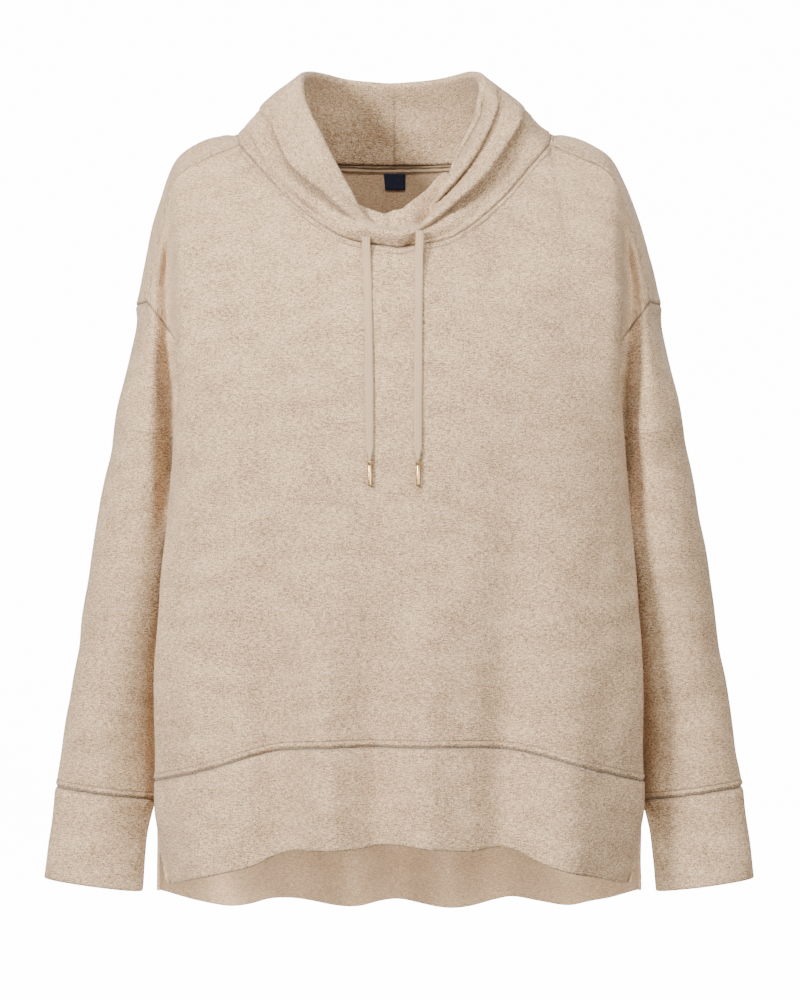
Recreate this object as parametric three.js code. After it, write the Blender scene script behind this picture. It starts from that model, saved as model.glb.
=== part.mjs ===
// Cowl neck sweatshirt, filled out and worn by nobody. Millimetres, +Z up, the front faces -Y.
// The origin is the middle of the neck base, between the two shoulder neck points.
// Each cloth piece is a grid of points on its middle surface, which gets a thickness on both sides.

import * as THREE from 'three';

// Cloth and seams
const FLEECE = 2;
const DOUBLE_FLEECE = 3.2;
const POCKET_CLOTH = 1;
const TAPE = 0.8;
const SEAM_GAP = 0.55;
const SAME_POINT = 0.037;
const LAY_GAP = 0.6;
const POCKET_GAP = 0.9;

// Hem bands and cuffs
const SEWN_SIDE = 0.31;
const FRONT_SLIT = { inward: 14, back: -30 };
const BACK_SLIT = { inward: 0, back: 4 };

// Collar
const COLLAR_GAP_LOW = 3.4;
const COLLAR_GAP_HIGH = 6.5;
const COLLAR_ROWS = 8;
const COLLAR_INSIDE_ROWS = 6;
const ROLL_STEPS = 3;
const BOW_LEAN = 1.25;

// Neck label and tape
const TAPE_WIDTH = 7.5;
const TAPE_TOP = 0.06;
const TAPE_ENDS = 3;
const LABEL_DROP = 1;
const LABEL_WIDTH = 20;
const LABEL_HEIGHT = 15;

// Drawcord ends
const CORD_WIDTH = 7;
const CORD_THICK = 2.2;
const CORD_SIDES = 8;
const CORD_STEPS = 24;
const TIP_LENGTH = 22;
const TIP_RADIUS = 2;

// How many grid steps lie between the named guides of a panel, from the centre to the side
const CENTRE_STEPS = 5;
const NECK_STEPS = 3;
const SHOULDER_STEPS = 5;
const SIDE_STEPS = 10;
const FRONT_ARMHOLE_STEPS = 9;
const BACK_ARMHOLE_STEPS = 12;
const SLEEVE_STEPS = 13;
const CUFF_STEPS = 4;
const BAND_ROWS = [0, SEWN_SIDE, 0.54, 0.77, 1];

// How many grid steps a seam's pull reaches into its panel
const TOP_PULL = 5;
const SIDE_PULL = 3;

// The neck sits a little to the wearer's right.
const NECK_SHIFT = -4.5;
const RIM_SHIFT = -3;
const SHIFT_STARTS = -170;
const RIM_HEIGHT = 55;

const GUIDES = ['centre', 'mid', 'neck', 'fold', 'hollow', 'edge'];
const UNDERARM = 4;

// Front panel sections from the hem seam to the neckline, each guide from the centre to the side
const FRONT = [
  { centre: [0, -112, -556], mid: [108, -105, -560], neck: [172, -80, -578],
    fold: [216, -40, -590], hollow: [222, -14, -592], edge: [221, 8, -592] },
  { centre: [0, -117, -480], mid: [110, -109, -482], neck: [174, -84, -495],
    fold: [219, -46, -503], hollow: [215, -18, -505], edge: [211, 6, -506] },
  { centre: [0, -121, -395], mid: [110, -112, -396], neck: [173, -88, -400],
    fold: [213, -50, -403], hollow: [201, -22, -404], edge: [195, 6, -405] },
  { centre: [0, -124, -320], mid: [110, -114, -320], neck: [170, -90, -322],
    fold: [206, -54, -324], hollow: [190, -25, -325], edge: [184, 5, -326] },
  { centre: [0, -125, -255], mid: [108, -114, -257], neck: [166, -92, -260],
    fold: [200, -60, -262], hollow: [182, -28, -262], edge: [175, 5, -260] },
  { centre: [0, -123, -222], mid: [106, -113, -224], neck: [162, -93, -230],
    fold: [197, -68, -238], hollow: [193, -54, -236], edge: [186, -42, -232] },
  { centre: [0, -120, -188], mid: [103, -109, -190], neck: [159, -90, -192],
    fold: [196, -74, -196], hollow: [199, -67, -197], edge: [198, -59, -198] },
  { centre: [0, -115, -155], mid: [98, -101, -148], neck: [153, -83, -140],
    fold: [195, -69, -150], hollow: [204, -63, -166], edge: [211, -56, -179] },
  { centre: [0, -107, -130], mid: [92, -86, -106], neck: [148, -56, -70],
    fold: [195, -53, -94], hollow: [210, -50, -134], edge: [221, -44, -166] },
  { centre: [0, -101, -113], mid: [94, -72, -69], neck: [141, -22, -14],
    fold: [193, -24, -38], hollow: [211, -27, -84], edge: [228, -28, -157] },
];

// Back panel sections from the hem seam up over the shoulder to the seam that is set to the front
const BACK = [
  { centre: [0, 101, -625], mid: [110, 94, -621], neck: [172, 70, -611],
    fold: [210, 38, -600], hollow: [220, 20, -595], edge: [221, 8, -592] },
  { centre: [0, 102, -530], mid: [110, 94, -527], neck: [172, 70, -518],
    fold: [205, 40, -511], hollow: [210, 20, -508], edge: [211, 6, -506] },
  { centre: [0, 104, -420], mid: [110, 95, -418], neck: [170, 72, -412],
    fold: [197, 42, -408], hollow: [198, 20, -406], edge: [195, 6, -405] },
  { centre: [0, 108, -332], mid: [110, 98, -331], neck: [166, 74, -329],
    fold: [188, 45, -327], hollow: [188, 22, -326], edge: [184, 5, -326] },
  { centre: [0, 112, -262], mid: [110, 101, -262], neck: [162, 79, -262],
    fold: [180, 50, -262], hollow: [179, 24, -261], edge: [175, 5, -260] },
  { centre: [0, 115, -205], mid: [108, 104, -207], neck: [160, 86, -215],
    fold: [179, 70, -224], hollow: [186, 60, -228], edge: [190, 50, -230] },
  { centre: [0, 114, -150], mid: [106, 103, -152], neck: [160, 89, -160],
    fold: [187, 79, -178], hollow: [197, 73, -189], edge: [205, 67, -198] },
  { centre: [0, 109, -98], mid: [105, 97, -98], neck: [158, 84, -104],
    fold: [192, 70, -127], hollow: [209, 63, -152], edge: [222, 55, -174] },
  { centre: [0, 103, -62], mid: [108, 84, -55], neck: [160, 56, -44],
    fold: [199, 44, -68], hollow: [220, 36, -114], edge: [234, 30, -163] },
  { centre: [0, 99, -40], mid: [114, 72, -30], neck: [160, 14, -4],
    fold: [196, 12, -22], hollow: [220, 12, -74], edge: [240, 10, -159] },
  { centre: [0, 95, -21], mid: [112, 65, -11], neck: [141, -22, -14],
    fold: [193, -24, -38], hollow: [211, -27, -84], edge: [228, -28, -157] },
];

// Edges that two pieces share, on the wearer's left, which the other side mirrors
const SHOULDER_SEAM = [
  [141, -22, -14], [170, -23, -26], [194, -24, -39], [206, -26, -66], [217, -28, -107], [228, -28, -157],
];
const FRONT_NECKLINE = [
  [0, -101, -113], [49, -96, -103], [94, -72, -69], [125, -41, -33], [138, -28, -18], [141, -22, -14],
];
const BACK_NECKLINE = [
  [0, 95, -21], [50, 91, -20], [92, 78, -16], [122, 54, -8], [140, 24, 0], [143, 0, -3], [141, -22, -14],
];

// Band heights below the hem seams at each guide
const FRONT_BAND = { centre: 86, mid: 89, neck: 93, fold: 94, hollow: 93, edge: 91 };
const BACK_BAND = { centre: 92, mid: 93, neck: 94, fold: 98, hollow: 100, edge: 100 };

// Upright waves of the body: where, how wide, how far out, the height where they fade out,
// and how far they lean to the side over each millimetre of height
const FRONT_FOLDS = [
  { x: -182, width: 26, out: 5, top: -330, lean: -0.03 },
  { x: -102, width: 30, out: -11, top: -200, lean: -0.052 },
  { x: -63, width: 22, out: 6, top: -330, lean: -0.05 },
  { x: -15, width: 26, out: -8, top: -300, lean: -0.054 },
  { x: 26, width: 24, out: 6, top: -300, lean: 0 },
  { x: 90, width: 30, out: -11, top: -190, lean: 0.032 },
  { x: 153, width: 30, out: 7, top: -330, lean: 0.03 },
];
const BACK_FOLDS = [
  { x: -142, width: 26, out: -15, top: -360, lean: 0.08 },
  { x: -97, width: 26, out: 8, top: -420, lean: 0 },
  { x: -45, width: 24, out: -13, top: -400, lean: -0.05 },
  { x: 0, width: 24, out: 9, top: -430, lean: 0 },
  { x: 48, width: 24, out: -15, top: -380, lean: 0.04 },
  { x: 98, width: 26, out: 9, top: -400, lean: 0 },
  { x: 150, width: 26, out: -12, top: -350, lean: -0.06 },
];
const FOLD_BOTTOM = -640;
const FOLD_FOOT = 0.02;

// Sleeve and cuff sections: centre, half width across, half depth, and how much lower the inner side is
const SLEEVE = [
  { x: 221, y: 4, z: -272, across: 35, deep: 61, tilt: 46 },
  { x: 231, y: 8, z: -330, across: 38.5, deep: 56, tilt: 20 },
  { x: 243, y: 12, z: -400, across: 39.5, deep: 51, tilt: 14 },
  { x: 253, y: 16, z: -470, across: 40, deep: 44, tilt: 12 },
  { x: 264.5, y: 18, z: -544, across: 41, deep: 35, tilt: 12 },
  { x: 270.8, y: 18, z: -606, across: 44, deep: 27, tilt: 12 },
];
const CUFF = [
  { x: 270.8, y: 18, z: -606, across: 44, deep: 27, tilt: 12 },
  { x: 274.6, y: 17, z: -634, across: 43, deep: 25, tilt: 12 },
  { x: 278.2, y: 16, z: -662, across: 43.5, deep: 24, tilt: 12 },
  { x: 281.4, y: 16, z: -690, across: 44, deep: 23, tilt: 12 },
];
const UNDERARM_PUSH = 12;
const UNDERARM_SPREAD = 0.5;
const UNDERARM_DROP = -2;
const TOP_DROP = 16;

// Creases of the sleeves: height, which way round they lie, their reach round, width and depth
const SLEEVE_FOLDS = [
  { z: -300, turn: 0.3, reach: 0.18, width: 20, out: -3.5, slope: 60 },
  { z: -372, turn: 0.62, reach: 0.2, width: 18, out: -3, slope: -50 },
  { z: -418, turn: 0.28, reach: 0.16, width: 18, out: -2.5, slope: 40 },
  { z: -468, turn: 0.5, reach: 0.2, width: 16, out: -2.5, slope: -40 },
  { z: -525, turn: 0.3, reach: 0.2, width: 16, out: -2.5, slope: 30 },
  { z: -572, turn: 0.6, reach: 0.25, width: 12, out: -2.5, slope: -20 },
];
const OTHER_ARM_TURN = 0.92;

// Collar rim from the front to the back, on the wearer's left, and how far the cloth bows out below it
const RIM = [
  { at: [0, -99, -95], bow: 9 },
  { at: [24, -95, -90], bow: 9 },
  { at: [44, -85, -57], bow: 9 },
  { at: [65, -60, -16], bow: 8 },
  { at: [82, -30, 24], bow: 6 },
  { at: [85, -5, 49], bow: 5 },
  { at: [76, 32, 57], bow: 4 },
  { at: [46, 66, 54], bow: 4 },
  { at: [0, 78, 51], bow: 4 },
];

// Slack folds of the collar, seen from the front: two ends, width and depth
const COLLAR_FOLDS = [
  { from: [-122, 16], to: [-88, -46], width: 6, out: -4 },
  { from: [-88, -46], to: [-60, -74], width: 6, out: -3 },
  { from: [-108, 16], to: [-78, -44], width: 6, out: 3 },
  { from: [97, 24], to: [80, -12], width: 6, out: -5 },
  { from: [80, -12], to: [40, -66], width: 6, out: -5 },
  { from: [118, 8], to: [86, -49], width: 6, out: -4 },
  { from: [86, -49], to: [30, -94], width: 6, out: -3 },
];

// Pocket bags: the stitch line runs down the front from the side seam to the hem seam
const POCKET_LINE = [
  { section: 1.8, guide: 3.3 }, { section: 1.5, guide: 2.15 }, { section: 1.15, guide: 1.6 },
  { section: 0.75, guide: 1.32 }, { section: 0.35, guide: 1.2 }, { section: 0.05, guide: 1.12 },
];
const POCKET_SIDE = 4.6;
const POCKET_STEPS = 8;

// Free ends of the flat drawcord, from the buttonholes down
const CORD_ROUTES = {
  drawcord_left: [
    [18.3, -109.3, -98.5], [18.3, -109.6, -103], [18.2, -110, -110], [18, -110.6, -120],
    [17.8, -111.3, -130], [17.6, -113, -140], [17.5, -115.8, -150], [17.4, -119.1, -165],
    [17.3, -121.3, -180], [17.2, -123.1, -195], [17.1, -124.5, -210], [17, -125.7, -225],
    [16.9, -126.7, -240], [16.9, -127.4, -255], [16.8, -127.5, -270], [16.8, -127.7, -285],
    [16.8, -128, -302],
  ],
  drawcord_right: [
    [-29, -105.4, -104], [-29, -105.9, -108], [-28.9, -106.4, -113], [-28.6, -107.2, -122],
    [-28.2, -109.4, -131], [-27.8, -112.1, -140], [-27.4, -115, -150], [-27.1, -118.3, -165],
    [-26.8, -120.7, -180], [-26.5, -122.6, -195], [-26.3, -124.1, -210], [-26.1, -125.3, -225],
    [-25.9, -126.4, -240], [-25.8, -127.1, -255], [-25.7, -127.2, -270], [-25.7, -127.3, -285],
    [-25.7, -127.6, -302],
  ],
};

const vector = ([x, y, z]) => new THREE.Vector3(x, y, z);
const mirror = (p) => new THREE.Vector3(-p.x, p.y, p.z);
const blend = (a, b, t) => a.clone().lerp(b, t);

function smooth(t) {
  const s = Math.min(Math.max(t, 0), 1);
  return s * s * (3 - 2 * s);
}

// A smooth curve through points, read where t counts the points from 0
function curve(points) {
  const path = new THREE.CatmullRomCurve3(points);
  return (t) => path.getPoint(Math.min(Math.max(t / (points.length - 1), 0), 1));
}

// Points at even lengths along a smooth curve
function spaced(points, steps) {
  return new THREE.CatmullRomCurve3(points.map(vector)).getSpacedPoints(steps);
}

// From one number to another in equal steps, without the last
function steps(from, to, count) {
  return Array.from({ length: count }, (_, i) => from + ((to - from) * i) / count);
}

const HALF_COLUMNS = [
  ...steps(0, 1, CENTRE_STEPS),
  ...steps(1, 2, NECK_STEPS),
  ...steps(2, 5, SHOULDER_STEPS),
  5,
];
const COLUMNS = [...HALF_COLUMNS.slice(1).reverse().map((u) => -u), ...HALF_COLUMNS];
const NECK_COLUMN = CENTRE_STEPS + NECK_STEPS;

// A row of points for the whole width from its left half, which starts at the centre
const bothSides = (half) => [...half.slice(1).reverse().map(mirror), ...half];

function halfCurve(points) {
  const whole = curve(bothSides(points));
  return (u) => whole(u + points.length - 1);
}

function panelGrid(sections, rows) {
  const guides = GUIDES.map((name) => curve(sections.map((section) => vector(section[name]))));
  return rows.map((v) => {
    const across = halfCurve(guides.map((guide) => guide(v)));
    return COLUMNS.map((u) => across(u));
  });
}

// Moves one edge of a grid onto its seam and spreads the shift over the next few points
function meet(grid, edge, seam, reach) {
  const last = grid.length - 1;
  const wide = grid[0].length - 1;
  const lines = {
    top: (i, d) => grid[last - d][i],
    left: (i, d) => grid[i][d],
    right: (i, d) => grid[i][wide - d],
  };
  seam.forEach((target, i) => {
    const shift = target.clone().sub(lines[edge](i, 0));
    for (let d = 0; d < reach; d += 1) {
      lines[edge](i, d).addScaledVector(shift, (1 - d / reach) ** 2);
    }
  });
}

// Neckline points that fall where the panel's columns do
function neckPoints(line) {
  const path = new THREE.CatmullRomCurve3(line.map(vector));
  return steps(0, 1, NECK_COLUMN).concat(1).map((t) => path.getPointAt(t));
}

const shoulderSeam = spaced(SHOULDER_SEAM, SHOULDER_STEPS);
const frontNeckline = neckPoints(FRONT_NECKLINE);
const backNeckline = neckPoints(BACK_NECKLINE);
const sideSeam = (() => {
  const seam = curve(FRONT.slice(0, UNDERARM + 1).map((section) => vector(section.edge)));
  return steps(0, UNDERARM, SIDE_STEPS).concat(UNDERARM).map(seam);
})();

function armhole(sections, count) {
  return spaced(sections.slice(UNDERARM).map((section) => section.edge), count);
}

const frontArmhole = armhole(FRONT, FRONT_ARMHOLE_STEPS);
const backArmhole = armhole(BACK, BACK_ARMHOLE_STEPS);

function panel(sections, neckline, armholeLine) {
  const rows = [
    ...steps(0, UNDERARM, SIDE_STEPS),
    ...steps(UNDERARM, sections.length - 1, armholeLine.length - 1),
    sections.length - 1,
  ];
  const grid = panelGrid(sections, rows);
  const side = [...sideSeam, ...armholeLine.slice(1)];
  meet(grid, 'top', bothSides([...neckline, ...shoulderSeam.slice(1)]), TOP_PULL);
  meet(grid, 'right', side, SIDE_PULL);
  meet(grid, 'left', side.map(mirror), SIDE_PULL);
  return grid;
}

// A hem band hangs from its panel's lowest row, and its two ends swing in below the sewn part.
function band(topRow, heights, slit) {
  const drop = halfCurve(GUIDES.map((name) => new THREE.Vector3(0, 0, heights[name])));
  return BAND_ROWS.map((t) => topRow.map((top, i) => {
    const u = COLUMNS[i];
    const nearEnd = smooth((Math.abs(u) - GUIDES.indexOf('fold')) / 2);
    const open = Math.max(t - SEWN_SIDE, 0) / (1 - SEWN_SIDE);
    return new THREE.Vector3(
      top.x - Math.sign(u) * slit.inward * nearEnd * open,
      top.y + slit.back * nearEnd * open,
      top.z - drop(u).z * t,
    );
  }));
}

function foldOut(folds, x, z) {
  return folds.reduce((sum, fold) => {
    const away = (x - fold.x - fold.lean * (z - FOLD_BOTTOM)) / fold.width;
    const shape = Math.max(Math.exp(-away * away) - FOLD_FOOT, 0);
    return sum + fold.out * shape * smooth((fold.top - z) / (fold.top - FOLD_BOTTOM));
  }, 0);
}

function wave(grid, folds, outward) {
  grid.flat().forEach((p) => {
    p.y += outward * foldOut(folds, p.x, p.z);
  });
}

// A ring of points whose first point is on the inner side, then goes over the front
function ring(section, turns) {
  return turns.map((turn) => {
    const angle = turn * 2 * Math.PI;
    return new THREE.Vector3(
      section.x - section.across * Math.cos(angle),
      section.y - section.deep * Math.sin(angle),
      section.z - (section.tilt / 2) * Math.cos(angle),
    );
  });
}

const armholeLoop = [...frontArmhole, ...backArmhole.slice(1, -1).reverse()];

// How far round the armhole each point lies, from 0 at the underarm
const armholeTurns = (() => {
  const lengths = [0];
  armholeLoop.forEach((p, i) => {
    const next = armholeLoop[(i + 1) % armholeLoop.length];
    lengths.push(lengths[i] + p.distanceTo(next));
  });
  return lengths.slice(0, -1).map((length) => length / lengths[lengths.length - 1]);
})();

// The sleeve leaves its seam sideways at the underarm and downwards over the shoulder.
function sleeveGrid() {
  const leaving = armholeLoop.map((p, i) => {
    const angle = armholeTurns[i] * 2 * Math.PI;
    const inner = (1 + Math.cos(angle)) / 2;
    return p.clone().add(new THREE.Vector3(
      UNDERARM_PUSH * inner,
      UNDERARM_PUSH * UNDERARM_SPREAD * inner * Math.sin(angle),
      -UNDERARM_DROP - (TOP_DROP - UNDERARM_DROP) * (1 - inner),
    ));
  });
  const sections = SLEEVE.map((section) => ring(section, armholeTurns));
  const columns = armholeLoop.map((p, i) => curve([p, leaving[i], ...sections.map((row) => row[i])]));
  const last = SLEEVE.length + 1;
  const rows = [0, 0.5, ...steps(1, last, SLEEVE_STEPS), last];
  return rows.map((v) => columns.map((column) => column(v)));
}

function sleeveFolds(grid, side) {
  const centre = curve(SLEEVE.map((section) => new THREE.Vector3(section.x, section.y, section.z)));
  const top = SLEEVE[0].z;
  const bottom = SLEEVE[SLEEVE.length - 1].z;
  grid.slice(2, -1).forEach((row) => row.forEach((p, i) => {
    const down = ((top - p.z) / (top - bottom)) * (SLEEVE.length - 1);
    const away = p.clone().sub(centre(down)).setZ(0).normalize();
    const out = SLEEVE_FOLDS.reduce((sum, fold) => {
      const turn = side > 0 ? fold.turn : OTHER_ARM_TURN - fold.turn;
      const round = armholeTurns[i] - turn;
      const height = (p.z - fold.z - side * fold.slope * round) / fold.width;
      return sum + fold.out * Math.exp(-((round / fold.reach) ** 2) - height * height);
    }, 0);
    p.addScaledVector(away, out);
  }));
}

function cuffGrid(topRow) {
  const sections = CUFF.map((section) => ring(section, armholeTurns));
  const columns = topRow.map((p, i) => curve([p, ...sections.slice(1).map((row) => row[i])]));
  return steps(0, CUFF.length - 1, CUFF_STEPS).concat(CUFF.length - 1)
    .map((v) => columns.map((column) => column(v)));
}

// The neck seam all round, from the front centre over the wearer's left to the back and on
function neckLoop() {
  const half = [...frontNeckline, ...backNeckline.slice(0, -1).reverse()];
  return [...half, ...half.slice(1, -1).reverse().map(mirror)];
}

function rimLoop() {
  const half = RIM.map((row) => vector(row.at));
  const count = 2 * NECK_COLUMN;
  const whole = curve([mirror(half[1]), ...half, mirror(half[half.length - 2])]);
  const bows = curve([RIM[1], ...RIM, RIM[RIM.length - 2]].map((row) => new THREE.Vector3(row.bow, 0, 0)));
  const points = steps(0, RIM.length - 1, count).concat(RIM.length - 1)
    .map((t) => ({ at: whole(t + 1), bow: bows(t + 1).x }));
  const other = points.slice(1, -1).reverse().map((row) => ({ at: mirror(row.at), bow: row.bow }));
  return [...points, ...other];
}

function segmentDistance(x, z, fold) {
  const [ax, az] = fold.from;
  const [bx, bz] = fold.to;
  const length = (bx - ax) ** 2 + (bz - az) ** 2;
  const t = Math.min(Math.max(((x - ax) * (bx - ax) + (z - az) * (bz - az)) / length, 0), 1);
  return Math.hypot(x - ax - t * (bx - ax), z - az - t * (bz - az));
}

// The collar goes up outside, rolls over the rim and comes down inside.
function collarGrid() {
  const neck = neckLoop();
  const rim = rimLoop();
  const middle = new THREE.Vector3(0, 0, 0);
  const outer = steps(0, 1, COLLAR_ROWS).concat(1).map((s) => neck.map((low, i) => {
    const high = rim[i].at;
    const p = blend(low, high, s);
    const up = high.clone().sub(low).normalize();
    const out = blend(low, high, 0.5).sub(middle).setZ(0).normalize();
    out.addScaledVector(up, -out.dot(up)).normalize();
    p.addScaledVector(out, rim[i].bow * Math.sin(Math.PI * s ** BOW_LEAN));
    return p;
  }));
  outer.slice(1).forEach((row) => row.filter((p) => p.y < 0).forEach((p) => {
    const out = COLLAR_FOLDS.reduce((sum, fold) => {
      const away = segmentDistance(p.x, p.z, fold) / fold.width;
      return sum + fold.out * Math.exp(-away * away);
    }, 0);
    p.addScaledVector(p.clone().setZ(0).normalize(), out);
  }));
  const normals = gridNormals(outer, true);
  const gap = (s) => COLLAR_GAP_LOW + (COLLAR_GAP_HIGH - COLLAR_GAP_LOW) * smooth(s);
  const inside = (row, i, distance) => outer[row][i].clone().addScaledVector(normals[row][i], -distance);
  const roll = steps(0, Math.PI, ROLL_STEPS + 1).slice(1).map((angle) => neck.map((_, i) => {
    const crest = outer[COLLAR_ROWS][i];
    const rise = crest.clone().sub(outer[COLLAR_ROWS - 1][i]).normalize();
    const half = gap(1) / 2;
    return inside(COLLAR_ROWS, i, half)
      .addScaledVector(normals[COLLAR_ROWS][i], half * Math.cos(angle))
      .addScaledVector(rise, half * Math.sin(angle));
  }));
  const inner = steps(1, 0, COLLAR_INSIDE_ROWS).concat(0).map((s) => neck.map((_, i) => {
    const row = s * COLLAR_ROWS;
    const low = Math.min(Math.floor(row), COLLAR_ROWS - 1);
    return blend(inside(low, i, gap(s)), inside(low + 1, i, gap(s)), row - low);
  }));
  return [...outer, ...roll, ...inner];
}

// Normals of a grid from its own faces, turned so that the first row points away from its middle
function gridNormals(grid, closed) {
  const normals = grid.map((row) => row.map(() => new THREE.Vector3()));
  const wide = grid[0].length;
  const across = closed ? wide : wide - 1;
  for (let i = 0; i < grid.length - 1; i += 1) {
    for (let j = 0; j < across; j += 1) {
      const k = (j + 1) % wide;
      const one = grid[i + 1][k].clone().sub(grid[i][j]);
      const two = grid[i + 1][j].clone().sub(grid[i][k]);
      const face = one.cross(two);
      [[i, j], [i, k], [i + 1, j], [i + 1, k]].forEach(([r, c]) => normals[r][c].add(face));
    }
  }
  const middle = grid[0].reduce((sum, p) => sum.add(p), new THREE.Vector3()).divideScalar(wide);
  const outward = grid[0].reduce((sum, p, j) => sum + normals[0][j].dot(p.clone().sub(middle)), 0);
  normals.flat().forEach((normal) => normal.multiplyScalar(Math.sign(outward)).normalize());
  return normals;
}

const place = (p) => [p.x, p.y, p.z].map((value) => Math.round(value / SAME_POINT)).join();

// Pieces that share seam points get the same normal there, so that their edges face each other.
function shareNormals(pieces) {
  const shared = new Map();
  pieces.forEach((piece) => {
    piece.normals = gridNormals(piece.grid, piece.closed);
    piece.grid.flat().forEach((p, i) => {
      const sum = shared.get(place(p)) ?? new THREE.Vector3();
      shared.set(place(p), sum.add(piece.normals.flat()[i]));
    });
  });
  pieces.forEach((piece) => {
    piece.normals = piece.grid.map((row) => row.map((p) => shared.get(place(p)).clone().normalize()));
  });
}

// Draws the sewn edges of a piece back, square to the seam, so that it clears its neighbour.
function drawBack(piece) {
  const { grid, normals, sewn, closed } = piece;
  const last = grid.length - 1;
  const wide = grid[0].length - 1;
  const moves = [];
  const pull = (p, inside, before, after, normal) => {
    const inward = inside.clone().sub(p);
    const seam = after.clone().sub(before).normalize();
    inward.addScaledVector(seam, -inward.dot(seam)).normalize();
    inward.addScaledVector(normal, -inward.dot(normal)).normalize();
    moves.push([p, inward.multiplyScalar(SEAM_GAP / 2)]);
  };
  const across = (i, r) => grid[i].forEach((p, j) => {
    const before = grid[i][closed ? (j + wide) % (wide + 1) : Math.max(j - 1, 0)];
    const after = grid[i][closed ? (j + 1) % (wide + 1) : Math.min(j + 1, wide)];
    pull(p, grid[r][j], before, after, normals[i][j]);
  });
  if (sewn.first) across(0, 1);
  if (sewn.last) across(last, last - 1);
  const [from, to] = sewn.sides ?? [0, -1];
  for (let i = from; i <= to; i += 1) {
    const before = grid[Math.max(i - 1, 0)];
    const after = grid[Math.min(i + 1, last)];
    pull(grid[i][0], grid[i][1], before[0], after[0], normals[i][0]);
    pull(grid[i][wide], grid[i][wide - 1], before[wide], after[wide], normals[i][wide]);
  }
  moves.forEach(([p, shift]) => p.add(shift));
}

// Whether a cell is split into triangles from its first corner to the opposite one, the shorter way
function splitsUpward(grid, i, j) {
  const k = (j + 1) % grid[0].length;
  return grid[i][j].distanceTo(grid[i + 1][k]) <= grid[i][k].distanceTo(grid[i + 1][j]);
}

// A closed wall around a grid of middle points
function wall(grid, normals, closed, thickness) {
  const rows = grid.length;
  const wide = grid[0].length;
  const sheet = (side) => grid.flatMap((row, i) => row.map(
    (p, j) => p.clone().addScaledVector(normals[i][j], (side * thickness) / 2),
  ));
  const points = [...sheet(1), ...sheet(-1)];
  const at = (side, i, j) => side * rows * wide + i * wide + (j % wide);
  const faces = [];
  const quad = (a, b, c, d) => faces.push(a, b, c, a, c, d);
  for (let i = 0; i < rows - 1; i += 1) {
    for (let j = 0; j < (closed ? wide : wide - 1); j += 1) {
      if (splitsUpward(grid, i, j)) {
        quad(at(0, i, j), at(0, i, j + 1), at(0, i + 1, j + 1), at(0, i + 1, j));
        quad(at(1, i, j), at(1, i + 1, j), at(1, i + 1, j + 1), at(1, i, j + 1));
      } else {
        quad(at(0, i, j + 1), at(0, i + 1, j + 1), at(0, i + 1, j), at(0, i, j));
        quad(at(1, i + 1, j), at(1, i + 1, j + 1), at(1, i, j + 1), at(1, i, j));
      }
    }
  }
  for (let j = 0; j < (closed ? wide : wide - 1); j += 1) {
    quad(at(0, 0, j), at(1, 0, j), at(1, 0, j + 1), at(0, 0, j + 1));
    quad(at(0, rows - 1, j), at(0, rows - 1, j + 1), at(1, rows - 1, j + 1), at(1, rows - 1, j));
  }
  for (let i = 0; i < rows - 1 && !closed; i += 1) {
    quad(at(0, i, 0), at(0, i + 1, 0), at(1, i + 1, 0), at(1, i, 0));
    quad(at(0, i, wide - 1), at(1, i, wide - 1), at(1, i + 1, wide - 1), at(0, i + 1, wide - 1));
  }
  const volume = steps(0, faces.length, faces.length / 3).reduce((sum, f) => {
    const [a, b, c] = [0, 1, 2].map((k) => points[faces[f + k]]);
    return sum + a.dot(b.clone().cross(c));
  }, 0);
  const geometry = new THREE.BufferGeometry();
  geometry.setAttribute('position', new THREE.Float32BufferAttribute(points.flatMap((p) => [...p]), 3));
  geometry.setIndex(volume < 0 ? [...faces].reverse() : faces);
  return geometry;
}

// A patch that lies inside a panel: its points are read off the panel's own faces and moved in.
function layInside(piece, places, distance) {
  const { grid, normals } = piece;
  const read = (r, c) => {
    const i = Math.min(Math.floor(r), grid.length - 2);
    const j = Math.min(Math.floor(c), grid[0].length - 2);
    const a = r - i;
    const b = c - j;
    const first = [[i, j, 1 - Math.max(a, b)], [i + 1, j + 1, Math.min(a, b)]];
    const upward = [...first, b > a ? [i, j + 1, b - a] : [i + 1, j, a - b]];
    const near = [[i, j, 1 - a - b], [i, j + 1, b], [i + 1, j, a]];
    const far = [[i + 1, j + 1, a + b - 1], [i, j + 1, 1 - a], [i + 1, j, 1 - b]];
    const downward = a + b < 1 ? near : far;
    const weights = splitsUpward(grid, i, j) ? upward : downward;
    const p = new THREE.Vector3();
    const n = new THREE.Vector3();
    weights.forEach(([x, y, w]) => {
      p.addScaledVector(grid[x][y], w);
      n.addScaledVector(normals[x][y], w);
    });
    return { p, n: n.normalize() };
  };
  const spots = places.map((row) => row.map(([r, c]) => read(r, c)));
  return {
    grid: spots.map((row) => row.map(({ p, n }) => p.addScaledVector(n, -distance))),
    normals: spots.map((row) => row.map(({ n }) => n)),
  };
}

// The grid column at a guide number, which may lie between two columns
function columnAt(guide) {
  const j = Math.min(COLUMNS.findIndex((u) => u > guide), COLUMNS.length - 1);
  const upper = j < 0 ? COLUMNS.length - 1 : j;
  return upper - 1 + (guide - COLUMNS[upper - 1]) / (COLUMNS[upper] - COLUMNS[upper - 1]);
}

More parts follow.
